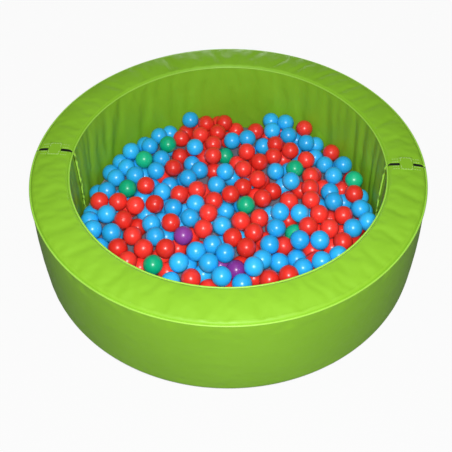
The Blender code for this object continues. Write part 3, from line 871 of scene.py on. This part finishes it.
PULLED_FOLDS = {
    Panel.INNER_WALL: [
        Fold(142.0, 2.2, -0.0029, 0.10, 1.0, 11.0),
        Fold(146.5, 1.8, 0.0016, 0.15, 1.0, 10.0),
        Fold(128.5, 2.0, -0.0023, 0.0, 0.95, 8.0),
        Fold(133.0, 2.2, 0.0012, 0.1, 1.0, 8.0),
        Fold(151.5, 1.4, -0.0019, 0.3, 1.0, 7.0),
        Fold(164.6, 1.2, -0.0025, 0.0, 1.0, 5.0),
        Fold(160.5, 1.3, 0.0015, 0.0, 1.0, 5.0),
        Fold(169.0, 1.1, -0.0023, 0.0, 1.0, 2.0),
        Fold(173.5, 1.0, 0.0012, 0.0, 1.0, 1.0),
        Fold(120.0, 2.5, 0.0009, 0.0, 1.0, 5.0),
        Fold(110.0, 2.0, -0.0009, 0.3, 1.0, 4.0),
        Fold(97.0, 2.0, -0.0006, 0.3, 1.0, 2.0),
        Fold(84.5, 1.8, -0.0008, 0.2, 1.0, -2.0),
        Fold(74.0, 1.8, 0.0008, 0.0, 1.0, -3.0),
        Fold(63.5, 1.8, -0.0018, 0.15, 1.0, -6.0),
        Fold(57.5, 1.6, 0.0012, 0.2, 1.0, -5.0),
        Fold(49.0, 1.2, -0.0029, 0.1, 1.0, -3.0),
        Fold(45.0, 1.2, 0.0016, 0.1, 1.0, -3.0),
        Fold(38.5, 1.3, -0.0012, 0.2, 1.0, -3.0),
        Fold(32.0, 1.1, -0.0025, 0.15, 1.0, -3.0),
        Fold(28.8, 1.0, 0.0016, 0.15, 1.0, -3.0),
        Fold(25.7, 1.0, -0.0027, 0.1, 1.0, -3.0),
        Fold(21.0, 1.2, 0.0015, 0.0, 1.0, -2.0),
        Fold(17.0, 1.0, -0.0027, 0.0, 1.0, -2.0),
        Fold(11.5, 1.0, -0.0021, 0.0, 1.0, -1.0),
        Fold(8.0, 1.0, 0.0004, 0.0, 1.0, 0.0),
    ],
    Panel.RIM: [
        Fold(81.0, 0.94, -0.0022, 0.1, 1.0, 8.0),
        Fold(70.0, 1.1, -0.0017, 0.0, 0.8, 6.0),
        Fold(62.0, 1.02, -0.0027, 0.0, 1.0, 5.0),
        Fold(53.2, 0.94, -0.0034, 0.0, 1.0, 4.0),
        Fold(48.0, 0.77, -0.0024, 0.2, 1.0, 3.0),
        Fold(42.5, 0.85, -0.0034, 0.0, 1.0, 2.0),
        Fold(37.0, 0.77, -0.0020, 0.0, 0.8, 1.0),
        Fold(32.0, 0.85, -0.0031, 0.0, 1.0, -2.0),
        Fold(24.0, 0.85, -0.0031, 0.0, 1.0, -4.0),
        Fold(15.0, 0.77, -0.0022, 0.0, 1.0, -4.0),
        Fold(100.0, 1.02, -0.0014, 0.0, 0.9, -3.0),
        Fold(118.0, 1.19, -0.0014, 0.1, 1.0, -3.0),
        Fold(143.0, 1.1, -0.0015, 0.0, 1.0, -3.0),
        Fold(336.0, 0.85, -0.0017, 0.0, 0.7, 3.0),
        Fold(345.0, 0.85, -0.0017, 0.3, 1.0, 3.0),
        Fold(327.0, 0.94, -0.0014, 0.2, 1.0, 3.0),
    ],
}


@dataclass
class RingHalf:
    """One half of the ring: its padded cover, welts, zip and slider."""

    half: Half
    form: RingForm
    cover_finish: Material
    backing_finish: Material
    welt_highlight_finish: Material
    thread_finish: Material
    zip_finish: Material
    slider_finish: Material
    thread: Thread = Thread()
    stuffing: Stuffing = Stuffing()
    welt_radius: float = 0.0028
    welt_proud_share: float = 0.55
    welt_angles_deg: dict[str, float] = field(default_factory=lambda: {"outer": 20.0, "inner": 162.0})
    welt_sides: int = 10
    end_cuts: int = 9
    backing_share: float = 0.25
    seam_share: float = 0.02
    bands_across: int = 200
    wrinkle_caps: dict[Panel, float] = field(
        default_factory=lambda: {Panel.OUTER_WALL: 0.0035, Panel.INNER_WALL: 0.0018, Panel.RIM: 0.0030}
    )
    edge_rows: tuple[float, ...] = (0.0050, 0.0170)
    rim_row_reach: float = 0.042
    row_proud_share: float = 0.2
    probe_height: float = 0.1
    end_welt_radius: float = 0.0023
    end_welt_lift: float = 0.0036
    end_welt_place: float = 0.0033
    end_welt_sides: int = 8

    def node(self, part: str) -> str:
        """The CAD node's name of one of this half's parts."""
        return f"{self.half.value}_{part}"

    def swept(self, section: Sequence[FlatPoint]) -> bmesh.types.BMesh:
        """Spins a closed section over this half, with its ends on the parting's faces.

        Args:
            section: Points of radius and height.

        Returns:
            The shape, with both ends closed.
        """
        bm = bmesh.new()
        along = bm.verts.layers.float.new("along")
        length = 0.0
        start = self.half.start
        for place, (radius, height) in enumerate(section):
            if place:
                length += math.dist(section[place - 1], (radius, height))
            vert = bm.verts.new((radius * math.cos(start), radius * math.sin(start), height))
            vert[along] = length
        face = bm.faces.new(bm.verts)
        bmesh.ops.spin(bm, geom=[face], axis=(0, 0, 1), angle=math.pi, steps=self.form.turn_steps)
        for vert in bm.verts:
            if vert.co.y * self.half.facing < self.form.end_face:
                vert.co.y = self.form.end_face * self.half.facing
        bmesh.ops.recalc_face_normals(bm, faces=bm.faces)
        return bm

    def marked(self, bm: bmesh.types.BMesh) -> None:
        """Notes each point's panel and its share across it, by its length along the section.

        Args:
            bm: The swept cover.
        """
        panel = bm.verts.layers.int.new("panel")
        share = bm.verts.layers.float.new("share")
        along = bm.verts.layers.float["along"]
        spans = list(self.form.spans().values())
        for vert in bm.verts:
            place = vert[along]
            number = max(k for k, span in enumerate(spans) if place >= span[0] - TOUCHING)
            low, high = spans[number]
            vert[panel] = number
            vert[share] = min(max((place - low) / (high - low), 0.0), 1.0)

    def rounded_ends(self, bm: bmesh.types.BMesh) -> None:
        """Rounds the cover over towards both end faces.

        Args:
            bm: The swept cover.
        """
        form = self.form
        facing = self.half.facing
        end = form.end_face
        rings = len(form.end_profile)
        leaving = []
        for edge in bm.edges:
            near, far = sorted(vert.co.y * facing for vert in edge.verts)
            if abs(near - end) < TOUCHING and far > end + 100 * TOUCHING:
                leaving.append(edge)
        bmesh.ops.subdivide_edges(bm, edges=leaving, cuts=rings - 1, use_grid_fill=True)
        bm.normal_update()
        for vert in bm.verts:
            away = vert.co.y * facing - end
            if away > form.outer_radius * math.pi / form.turn_steps:
                continue
            side = 1 if vert.co.x > 0 else -1
            radius = math.hypot(vert.co.x, vert.co.y)
            step = radius * math.pi / form.turn_steps - end
            number = round(rings * away / step)
            if number >= rings:
                continue
            inset, rise = (share * form.end_rounding for share in form.end_profile[number])
            outwards = (radius - form.mid_radius) / (form.outer_radius - form.mid_radius)
            upwards = (vert.co.z - form.height / 2) / (form.height / 2)
            vert.co.x = side * (abs(vert.co.x) - inset * outwards)
            vert.co.z -= inset * upwards
            vert.co.y = facing * (end + rise)

    def unwrapped(self, bm: bmesh.types.BMesh, length: float) -> None:
        """Gives a swept shape a UV map in metres, along the ring and along its section.

        Args:
            bm: The shape, with its section's lengths in a layer.
            length: The section's whole length.
        """
        along = bm.verts.layers.float["along"]
        run = bm.loops.layers.uv.new("run")
        for face in bm.faces:
            lengths = [loop.vert[along] for loop in face.loops]
            wraps = max(lengths) - min(lengths) > length / 2
            for loop, across in zip(face.loops, lengths):
                turn = math.atan2(loop.vert.co.y, loop.vert.co.x) * self.form.mid_radius
                if wraps and across < length / 2:
                    across += length
                loop[run].uv = (turn, across)

    def close_ends(self, bm: bmesh.types.BMesh) -> None:
        """Divides both end faces into a grid, from the heights that both walls have in common.

        Args:
            bm: The cover, with one face on each end.
        """
        for end in [face for face in bm.faces if len(face.verts) > 4]:
            walls: dict[float, list[bmesh.types.BMVert]] = {}
            for vert in end.verts:
                if self.form.base_radius <= vert.co.z <= self.form.wall_top:
                    walls.setdefault(round(vert.co.z, 5), []).append(vert)
            rungs = []
            for pair in walls.values():
                if len(pair) == 2:
                    rungs += bmesh.ops.connect_verts(bm, verts=pair)["edges"]
            bmesh.ops.subdivide_edges(bm, edges=rungs, cuts=self.end_cuts, use_grid_fill=True)

    def backed(self, bm: bmesh.types.BMesh) -> None:
        """Gives both end faces the near-black cloth: a painted shade for the unlit slit at each parting.

        Args:
            bm: The cover.
        """
        bm.normal_update()
        # How far from the end faces the painted shade of the slit reaches.
        reach = self.form.end_face + self.backing_share * self.form.end_rounding
        for face in bm.faces:
            if face.calc_center_median().y * self.half.facing < reach:
                face.material_index = 1

    def cover(self) -> bpy.types.Object:
        """The padded cover with the foam in it.

        Returns:
            The piece.
        """
        section = self.form.section()
        length = sum(math.dist(one, other) for one, other in zip(section, section[1:] + section[:1]))
        bm = self.swept(section)
        self.marked(bm)
        self.rounded_ends(bm)
        self.close_ends(bm)
        self.backed(bm)
        self.form.swollen_end(bm, self.half.facing)
        self.folded(bm)
        self.unwrapped(bm, length)
        obj = finished(self.node("cover"), bm, self.cover_finish)
        obj.data.materials.append(self.backing_finish)
        self.stuffed(obj)
        subdivided(obj, 1)
        panels = ["rim_panel", "outer_wall_panel", "inner_wall_panel", "base_outer_strip", "base_inner_strip"]
        panels += ["left_end_panel", "right_end_panel"]
        panels += ["left_foam_block", "middle_foam_block", "right_foam_block"]
        placed(obj, self.half.body, [self.node(panel) for panel in panels])
        return obj

    def folded(self, bm: bmesh.types.BMesh) -> None:
        """Lifts the cloth where the panels have their folds, short of the end faces.

        Args:
            bm: The cover, with its points' panels and shares noted.
        """
        bm.normal_update()
        numbers = bm.verts.layers.int["panel"]
        across = bm.verts.layers.float["share"]
        verts = [vert for vert in bm.verts if abs(vert.co.y) > self.form.end_face + self.form.end_rounding]
        panels = np.array([vert[numbers] for vert in verts])
        shares = np.array([vert[across] for vert in verts])
        azimuths = np.degrees([math.atan2(vert.co.y, vert.co.x) for vert in verts])
        lift = np.zeros(len(verts))
        for panel, folds in PULLED_FOLDS.items():
            for fold in folds:
                lift += fold.rise(azimuths, shares) * (panels == panel.value)
        for vert, rise in zip(verts, lift):
            vert.co += vert.normal * float(rise)

    def stuffed(self, obj: bpy.types.Object) -> None:
        """Lets the simulation wrinkle the cover between its seams.

        The form already has the panels' mean swell, so only what differs round the ring is kept, and no point
        moves further than its panel's cap.

        Args:
            obj: The cover.
        """
        mesh = obj.data
        count = len(mesh.vertices)
        panels, shares, flat = np.empty(count, dtype=np.int32), np.empty(count), np.empty(3 * count)
        mesh.attributes["panel"].data.foreach_get("value", panels)
        mesh.attributes["share"].data.foreach_get("value", shares)
        mesh.vertices.foreach_get("co", flat)
        places = flat.reshape(-1, 3)
        near_end = np.abs(places[:, 1]) < self.form.end_face + 2 * self.form.end_rounding
        at_seam = (shares < self.seam_share) | (shares > 1 - self.seam_share)
        held = near_end | (panels == Panel.UNDERSIDE.value) | at_seam
        move = self.stuffing.swell(obj, np.flatnonzero(held).tolist())
        radial = places[:, :2] / np.linalg.norm(places[:, :2], axis=1, keepdims=True)
        out = np.where(panels == Panel.RIM.value, move[:, 2], (move[:, :2] * radial).sum(axis=1))
        for panel, cap in self.wrinkle_caps.items():
            here = (panels == panel.value) & ~held
            bands = np.round(shares * self.bands_across).astype(int)
            for band in np.unique(bands[here]):
                row = here & (bands == band)
                out[row] -= out[row].mean()
            out[here] = cap * np.tanh(out[here] / cap)
            deepest = 1000 * np.abs(out[here]).max()
            log.info("%s: wrinkles in %s within %.1f mm", obj.name, panel.name, deepest)
            axis = np.column_stack([radial, np.zeros(count)])
            if panel is Panel.RIM:
                axis = np.tile((0.0, 0.0, 1.0), (count, 1))
            places[here] += (out[:, None] * axis)[here]
        mesh.vertices.foreach_set("co", places.ravel())
        mesh.update()

    def edge_stitches(self, cover: bpy.types.Object) -> None:
        """The rows of stitches across the rim, beside both partings, laid on the finished cover.

        Args:
            cover: The finished cover.
        """
        bm = bmesh.new()
        form = self.form
        for side in Side:
            near = side.value * (form.mid_radius - self.rim_row_reach)
            far = side.value * (form.mid_radius + self.rim_row_reach)
            for inset in self.edge_rows:
                across = self.half.facing * (form.end_face + inset)
                self.thread.row(bm, (near, across, form.height), (far, across, form.height))
        cloth = BVHTree.FromObject(cover, bpy.context.evaluated_depsgraph_get())
        for vert in bm.verts:
            over = vert.co.z - form.height
            above = Vector((vert.co.x, vert.co.y, form.height + self.probe_height))
            met = cloth.ray_cast(above, Vector((0, 0, -1)))[0]
            vert.co.z = met.z + over + self.row_proud_share * self.thread.radius
        obj = finished(self.node("edge_stitches"), bm, self.thread_finish)
        placed(obj, self.half.body)

    def end_welt(self, side: Side) -> None:
        """The thin piping up the inner wall's edge at one parting.

        Args:
            side: Which parting.
        """
        form = self.form
        path = form.lines()[Panel.INNER_WALL][1:]
        bm = bmesh.new()
        at_y = self.half.facing * self.end_welt_place
        first = Matrix.Translation((side.value * (path[0][0] - self.end_welt_lift), at_y, path[0][1]))
        bmesh.ops.create_circle(
            bm, cap_ends=True, radius=self.end_welt_radius, segments=self.end_welt_sides, matrix=first
        )
        front = bm.faces[:]
        for (radius, height), (next_radius, next_height) in zip(path, path[1:]):
            region = bmesh.ops.extrude_face_region(bm, geom=front)["geom"]
            front = [item for item in region if isinstance(item, bmesh.types.BMFace)]
            ring = [item for item in region if isinstance(item, bmesh.types.BMVert)]
            step = (side.value * (next_radius - radius), 0.0, next_height - height)
            bmesh.ops.translate(bm, vec=step, verts=ring)
        bmesh.ops.recalc_face_normals(bm, faces=bm.faces)
        obj = finished(self.node(f"{side.word}_end_welt"), bm, self.welt_highlight_finish)
        placed(obj, self.half.body)

    def welt(self, edge: str) -> None:
        """The piping on one of the rim's seams.

        Args:
            edge: Either outer or inner.
        """
        form = self.form
        reach = form.edge_radius + self.welt_radius * self.welt_proud_share
        centre = form.inner_radius + form.belly + form.edge_radius
        if edge == "outer":
            centre = form.outer_radius - form.belly - form.edge_radius
        middle = arc((centre, form.wall_top), reach, self.welt_angles_deg[edge], 90, 1)[0]
        ring = arc(middle, self.welt_radius, 0, 360, self.welt_sides)[:-1]
        bm = self.swept(ring)
        form.swollen_end(bm, self.half.facing)
        obj = finished(self.node(f"{edge}_welt"), bm, self.welt_highlight_finish)
        placed(obj, self.half.body, [self.node(f"{edge}_piping")])

    def build(self) -> None:
        """Makes all pieces of the half."""
        cover = self.cover()
        self.edge_stitches(cover)
        self.welt("outer")
        self.welt("inner")
        for side in Side:
            self.end_welt(side)
        redressed(self.node("zip"), self.zip_finish)
        redressed(self.node("zip_slider"), self.slider_finish)


@dataclass
class HingeStrap:
    """A sewn strap that bridges a parting, and folds with it."""

    side: Side
    form: RingForm
    finish: Material
    thread_finish: Material
    thread: Thread = Thread(0.0062, 0.0090, 0.0008)
    width: float = 0.040
    length: float = 0.056
    thickness: float = 0.0014
    lift: float = 0.0004
    row_inset: float = 0.0035
    open_reach: float = 0.0090
    cells: tuple[int, int] = (14, 22)

    def build(self) -> None:
        """Makes the strap as one bending piece."""
        bm = bmesh.new()
        bmesh.ops.create_grid(bm, x_segments=self.cells[0], y_segments=self.cells[1], size=0.5)
        bmesh.ops.scale(bm, vec=(self.width, self.length, 1.0), verts=bm.verts)
        raised = bmesh.ops.extrude_face_region(bm, geom=bm.faces[:])["geom"]
        tops = [item for item in raised if isinstance(item, bmesh.types.BMVert)]
        bmesh.ops.translate(bm, vec=(0, 0, self.thickness), verts=tops)
        bmesh.ops.recalc_face_normals(bm, faces=bm.faces)
        at = (self.side.value * self.form.mid_radius, 0.0, self.form.height + self.lift)
        bmesh.ops.translate(bm, vec=at, verts=bm.verts)
        self.sewn(bm)
        obj = finished(f"{self.side.word}_hinge_strap", bm, self.finish)
        obj.data.materials.append(self.thread_finish)
        start = (at[0], -self.form.end_face, at[2])
        end = (at[0], self.form.end_face, at[2])
        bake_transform(obj, Half.FRONT.body, Half.BACK.body, start, end)
        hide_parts(*[f"{half.value}_{self.side.word}_hinge_leaf" for half in Half])
        log.info("%s: %d faces", obj.name, len(obj.data.polygons))

    def sewn(self, bm: bmesh.types.BMesh) -> None:
        """Sews both leaves on: a row across each end, and one along each side up to the part that bends.

        Args:
            bm: The strap in its place.
        """
        before = set(bm.faces)
        middle = self.side.value * self.form.mid_radius
        top = self.form.height + self.lift + self.thickness
        aside = self.width / 2 - self.row_inset
        end = self.length / 2 - self.row_inset
        for way in (-1, 1):
            self.thread.row(bm, (middle - aside, way * end, top), (middle + aside, way * end, top))
            for edge in (middle - aside, middle + aside):
                self.thread.row(bm, (edge, way * self.open_reach, top), (edge, way * end, top))
        for face in bm.faces:
            if face not in before:
                face.material_index = 1


@dataclass
class PlayMat:
    """The round mat under the balls."""

    finish: Material
    radius: float = 0.472
    thickness: float = 0.025
    steps: int = 120
    rings: int = 24
    edge_deg: float = 80.0
    edge_steps: int = 8
    merging: float = 0.0001

    def build(self) -> None:
        """Makes the padded mat."""
        bm = bmesh.new()
        half = self.thickness / 2
        reaches = [self.radius * ring / self.rings for ring in range(self.rings - 1)]
        line = [(reach, 0.0) for reach in reaches]
        line += arc((self.radius - half, half), half, -self.edge_deg, self.edge_deg, self.edge_steps)
        line += [(reach, self.thickness) for reach in reversed(reaches)]
        verts = [bm.verts.new((radius, 0.0, height)) for radius, height in line]
        edges = [bm.edges.new(pair) for pair in zip(verts, verts[1:])]
        whole = 2 * math.pi
        bmesh.ops.spin(bm, geom=verts + edges, axis=(0, 0, 1), angle=whole, steps=self.steps, use_merge=True)
        bmesh.ops.remove_doubles(bm, verts=bm.verts, dist=self.merging)
        bmesh.ops.recalc_face_normals(bm, faces=bm.faces)
        obj = finished("mat", bm, self.finish)
        placed(obj, "mat_and_ball_bed", ["mat_base_cover", "mat_foam", "mat_top_cover"])


def facet_middles(corners: np.ndarray, radius: float) -> np.ndarray:
    """Where a ball's middle lies behind each of its flat facets.

    A facet's corners lie on the ball, so its middle is straight behind the middle of their circle.

    Args:
        corners: The three corners of each facet.
        radius: The ball's radius.

    Returns:
        A point for each facet.
    """
    first, second, third = corners.transpose(1, 0, 2)
    one, other = second - first, third - first
    outwards = np.cross(one, other)
    size = (outwards**2).sum(1, keepdims=True)
    circle = np.cross(outwards, one) * (other**2).sum(1, keepdims=True)
    circle += np.cross(other, outwards) * (one**2).sum(1, keepdims=True)
    circle /= 2 * size
    depth = np.sqrt(np.clip(radius**2 - (circle**2).sum(1, keepdims=True), 0, None))
    return first + circle - outwards / np.sqrt(size) * depth


@dataclass
class BallBed:
    """The play balls: two linked groups, and the lone ones that lift out."""

    finishes: dict[Shell, Material]
    radius: float = 0.030
    smoothing_gain: float = 1.078
    seed: int = 7
    agreement: float = 0.0004
    least_facets: int = 6
    linked: tuple[Shell, ...] = (Shell.RED, Shell.BLUE)
    linked_body: str = "mat_and_ball_bed"
    lone: dict[Shell, int] = field(
        default_factory=lambda: {Shell.RED: 5, Shell.BLUE: 1, Shell.GREEN: 9, Shell.PURPLE: 3}
    )
    fixed: tuple[str, ...] = ("green_ball_8", "green_ball_9", "purple_ball_2", "purple_ball_3")

    def middles(self, node: str) -> list[Point]:
        """Finds where the balls of a CAD node lie, by the middles that their facets agree on.

        Args:
            node: The node, one ball or many that thin links join.

        Returns:
            The middle of each ball, in order along X.
        """
        mesh = bpy.data.objects[node].data
        places = np.array([vert.co for vert in mesh.vertices])
        points = facet_middles(places[[facet.vertices[:3] for facet in mesh.polygons]], self.radius)
        points = points[np.isfinite(points).all(1)]
        tree = KDTree(len(points))
        for index, point in enumerate(points):
            tree.insert(point, index)
        tree.balance()
        found, spent = [], set()
        for index, point in enumerate(points):
            near = [other for _, other, _ in tree.find_range(point, self.agreement)]
            if index not in spent and len(near) >= self.least_facets:
                found.append(np.median(points[near], axis=0))
                for _, other, _ in tree.find_range(found[-1], self.radius / 2):
                    spent.add(other)
        return sorted(tuple(round(float(value), 5) for value in middle) for middle in found)

    def pattern(self) -> bpy.types.Mesh:
        """One unit ball of a few dozen faces.

        Returns:
            Its mesh.
        """
        bm = bmesh.new()
        bmesh.ops.create_cube(bm, size=2.0)
        bmesh.ops.subdivide_edges(bm, edges=bm.edges, cuts=2, use_grid_fill=True)
        for vert in bm.verts:
            spread = [math.tan(value * math.pi / 4) for value in vert.co]
            vert.co = Vector(spread).normalized()
        mesh = bpy.data.meshes.new("unit_ball")
        bm.to_mesh(mesh)
        bm.free()
        return mesh

    def moulded(
        self, places: Sequence[Point], pattern: bpy.types.Mesh, rng: np.random.Generator
    ) -> bmesh.types.BMesh:
        """Sets a turned copy of the unit ball at each place.

        Args:
            places: The balls' middles.
            pattern: The unit ball.
            rng: Where the turns and shades come from.

        Returns:
            All the balls in one shape.
        """
        bm = bmesh.new()
        own = bm.verts.layers.float_vector.new("moulding")
        shade = bm.verts.layers.float.new("shade")
        for place in places:
            bm.from_mesh(pattern)
            bm.verts.ensure_lookup_table()
            verts = bm.verts[-len(pattern.vertices):]
            turn = Matrix(np.linalg.qr(rng.normal(size=(3, 3)))[0]).to_quaternion().to_matrix()
            tone = float(rng.uniform())
            for vert in verts:
                vert[own] = vert.co
                vert[shade] = tone
                vert.co = Vector(place) + turn @ vert.co * self.radius * self.smoothing_gain
        return bm

    def build(self) -> None:
        """Makes the two groups and the lone balls."""
        rng = np.random.default_rng(self.seed)
        pattern = self.pattern()
        nodes = [(shell, f"{shell.name.lower()}_balls") for shell in self.linked]
        for shell, count in self.lone.items():
            nodes += [(shell, f"{shell.name.lower()}_ball_{number}") for number in range(1, count + 1)]
        for shell, node in nodes:
            middles = self.middles(node)
            log.info("%s: %d balls", node, len(middles))
            obj = finished(f"{node}_moulded", self.moulded(middles, pattern, rng), self.finishes[shell], 1)
            stays = node.endswith("_balls") or node in self.fixed
            placed(obj, self.linked_body if stays else f"loose_{node}", [node])
        bpy.data.meshes.remove(pattern)


# Studio


@dataclass(frozen=True)
class Lamp:
    """A square soft lamp. Its place and aim are beside the camera's line."""

    name: str
    place: Point
    aim: Point
    side: float
    power: float


@dataclass
class Studio:
    """The camera, the lamps and the floor."""

    setback: float = 1.6052
    aside: float = -0.0048
    eye_height: float = 1.7796
    tilt_deg: float = 39.34
    roll_deg: float = 0.55
    turn_deg: float = 4.4
    lens: float = 56.61
    shift: float = -0.2456
    mirrored_share: float = 0.1
    seen_share: float = 0.95
    gap_reach: float = 0.06
    gap_shares: tuple[float, float] = (0.28, 0.42)
    ambient: float = 0.09
    floor_radius: float = 12.0
    floor_sides: int = 96
    floor_colour: Colour = (0.30, 0.30, 0.30)
    lamps: tuple[Lamp, ...] = (
        Lamp("key", (0.02, -1.625, 1.935), (0.0, -0.02, 0.1), side=0.24, power=59.0),
        Lamp("overhead", (0.0, 0.0, 2.8), (0.0, 0.0, 0.1), side=2.0, power=9.0),
        Lamp("behind", (0.0, 3.4, 0.42), (0.0, 0.0, 0.15), side=0.8, power=24.0),
    )

    def turned(self, place: Sequence[float]) -> Vector:
        """A place or direction beside the camera's line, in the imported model's frame."""
        return Matrix.Rotation(math.radians(self.turn_deg), 3, "Z") @ Vector(place)

    def camera(self) -> None:
        """The camera at the photograph's viewing angle."""
        tilt, roll = math.radians(self.tilt_deg), math.radians(self.roll_deg)
        ahead = Vector((0.0, math.cos(tilt), -math.sin(tilt)))
        level = Vector((1.0, 0.0, 0.0))
        above = level.cross(ahead)
        right = math.cos(roll) * level - math.sin(roll) * above
        up = math.sin(roll) * level + math.cos(roll) * above
        axes = Matrix([self.turned(axis) for axis in (right, up, -ahead)]).transposed()
        data = bpy.data.cameras.new("camera")
        data.lens = self.lens
        data.shift_y = self.shift
        obj = bpy.data.objects.new("camera", data)
        bpy.context.scene.collection.objects.link(obj)
        eye = self.turned((self.aside, -self.setback, self.eye_height))
        obj.matrix_world = Matrix.Translation(eye) @ axes.to_4x4()
        bpy.context.scene.camera = obj

    def hang(self, lamp: Lamp) -> None:
        """Puts a lamp in its place.

        Args:
            lamp: The lamp.
        """
        data = bpy.data.lights.new(lamp.name, "AREA")
        data.size = lamp.side
        data.energy = lamp.power
        obj = bpy.data.objects.new(lamp.name, data)
        bpy.context.scene.collection.objects.link(obj)
        at = self.turned(lamp.place)
        facing = (self.turned(lamp.aim) - at).to_track_quat("-Z", "Y")
        obj.matrix_world = Matrix.Translation(at) @ facing.to_matrix().to_4x4()

    def world(self) -> None:
        """White where it is seen, and a plain soft light."""
        world = bpy.data.worlds.new("studio")
        bpy.context.scene.world = world
        world.use_nodes = True
        tree = world.node_tree
        shade = tree.nodes["Background"]
        path = tree.nodes.new("ShaderNodeLightPath")
        seen = tree.nodes.new("ShaderNodeMath")
        seen.operation = "MAXIMUM"
        tree.links.new(path.outputs["Is Camera Ray"], seen.inputs[0])
        tree.links.new(path.outputs["Is Transmission Ray"], seen.inputs[1])
        level = tree.nodes.new("ShaderNodeMapRange")
        level.inputs[3].default_value = self.ambient
        level.inputs[4].default_value = 1.0
        tree.links.new(seen.outputs[0], level.inputs[0])
        tree.links.new(level.outputs[0], shade.inputs["Strength"])
        shade.inputs["Color"].default_value = (1.0, 1.0, 1.0, 1.0)

    def floor(self) -> None:
        """A pale floor that keeps the ring's soft shadow, and lies dark in narrow gaps, where ambient
        occlusion takes its white glow away: a painted shade.
        """
        bm = bmesh.new()
        bmesh.ops.create_circle(bm, cap_ends=True, radius=self.floor_radius, segments=self.floor_sides)
        shading = Shading("pale_floor")
        path = shading.node("LightPath")
        shading.set(base_color=self.floor_colour, roughness=0.9, specular_ior_level=0.1)
        mirrored = shading.math("MULTIPLY", path.outputs["Is Glossy Ray"], self.mirrored_share)
        seen = shading.math("MAXIMUM", path.outputs["Is Camera Ray"], mirrored)
        seen = shading.math("MAXIMUM", seen, path.outputs["Is Transmission Ray"])
        # Ambient occlusion takes the glow away where the floor is closed in: painted shade in narrow gaps.
        occlusion_shade = shading.node("AmbientOcclusion", {"Distance": self.gap_reach})
        unshaded_share = shading.spread(occlusion_shade.outputs["AO"], *self.gap_shares, 0.0, self.seen_share)
        glow = shading.node("Emission", {"Strength": 1.0})
        mixed = shading.node("MixShader", {0: shading.math("MULTIPLY", seen, unshaded_share)})
        shading.tree.links.new(shading.shader.outputs[0], mixed.inputs[1])
        shading.tree.links.new(glow.outputs[0], mixed.inputs[2])
        shading.tree.links.new(mixed.outputs[0], shading.tree.nodes["Material Output"].inputs[0])
        finished("floor", bm, shading.material)

    def build(self) -> None:
        """Sets up the whole studio."""
        bpy.context.scene.view_settings.view_transform = "Standard"
        self.camera()
        self.world()
        self.floor()
        for lamp in self.lamps:
            self.hang(lamp)


def main() -> None:
    """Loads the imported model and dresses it."""
    logging.basicConfig(level=logging.INFO, format="%(name)s: %(message)s")
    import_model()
    form = RingForm()
    spans = form.spans()
    seams = (spans[Panel.OUTER_WALL][0], spans[Panel.INNER_WALL][1], spans[Panel.RIM][1])
    lime = VinylFinish("cover_vinyl", colour=(0.245, 0.520, 0.024), deep=(0.225, 0.485, 0.020), seams=seams)
    # The piping is real; its colour, paler than the cover's, is a painted highlight along the lit seam edges.
    highlit_vinyl = VinylFinish("welt_vinyl_highlit", colour=(0.35, 0.67, 0.075), deep=(0.32, 0.62, 0.060), roughness=0.40)
    # The mat is real; its grey is set dark so that the gaps between the balls read as shade: partly painted
    # shade.
    shade_darkened_grey = VinylFinish("mat_vinyl_shade_darkened", colour=(0.20, 0.20, 0.26), deep=(0.17, 0.17, 0.22), roughness=0.5)
    thread = ThreadFinish("sewing_thread", colour=(0.70, 0.86, 0.46)).material()
    tape, coil = (0.030, 0.030, 0.032), (0.075, 0.075, 0.080)
    zip_cloth = ZipFinish("coil_zip", tape, coil, form.mid_radius).material()
    slider = MetalFinish("slider_metal", colour=(0.05, 0.05, 0.05), worn=(0.35, 0.35, 0.36)).material()
    cover = lime.material()
    # Near-black end-face cloth: a painted shade for the unlit slit at each parting.
    slit_shade_material = WovenFinish("backing_cloth", colour=(0.007, 0.008, 0.006)).material()
    welt = highlit_vinyl.material()
    for half in Half:
        RingHalf(half, form, cover, slit_shade_material, welt, thread, zip_cloth, slider).build()
    for side in Side:
        HingeStrap(side, form, cover, thread).build()
    PlayMat(shade_darkened_grey.material()).build()
    shells = {shell: MouldedFinish(f"{shell.name.lower()}_shell", shell.value).material() for shell in Shell}
    BallBed(shells).build()
    Studio().build()


if __name__ == "__main__":
    main()
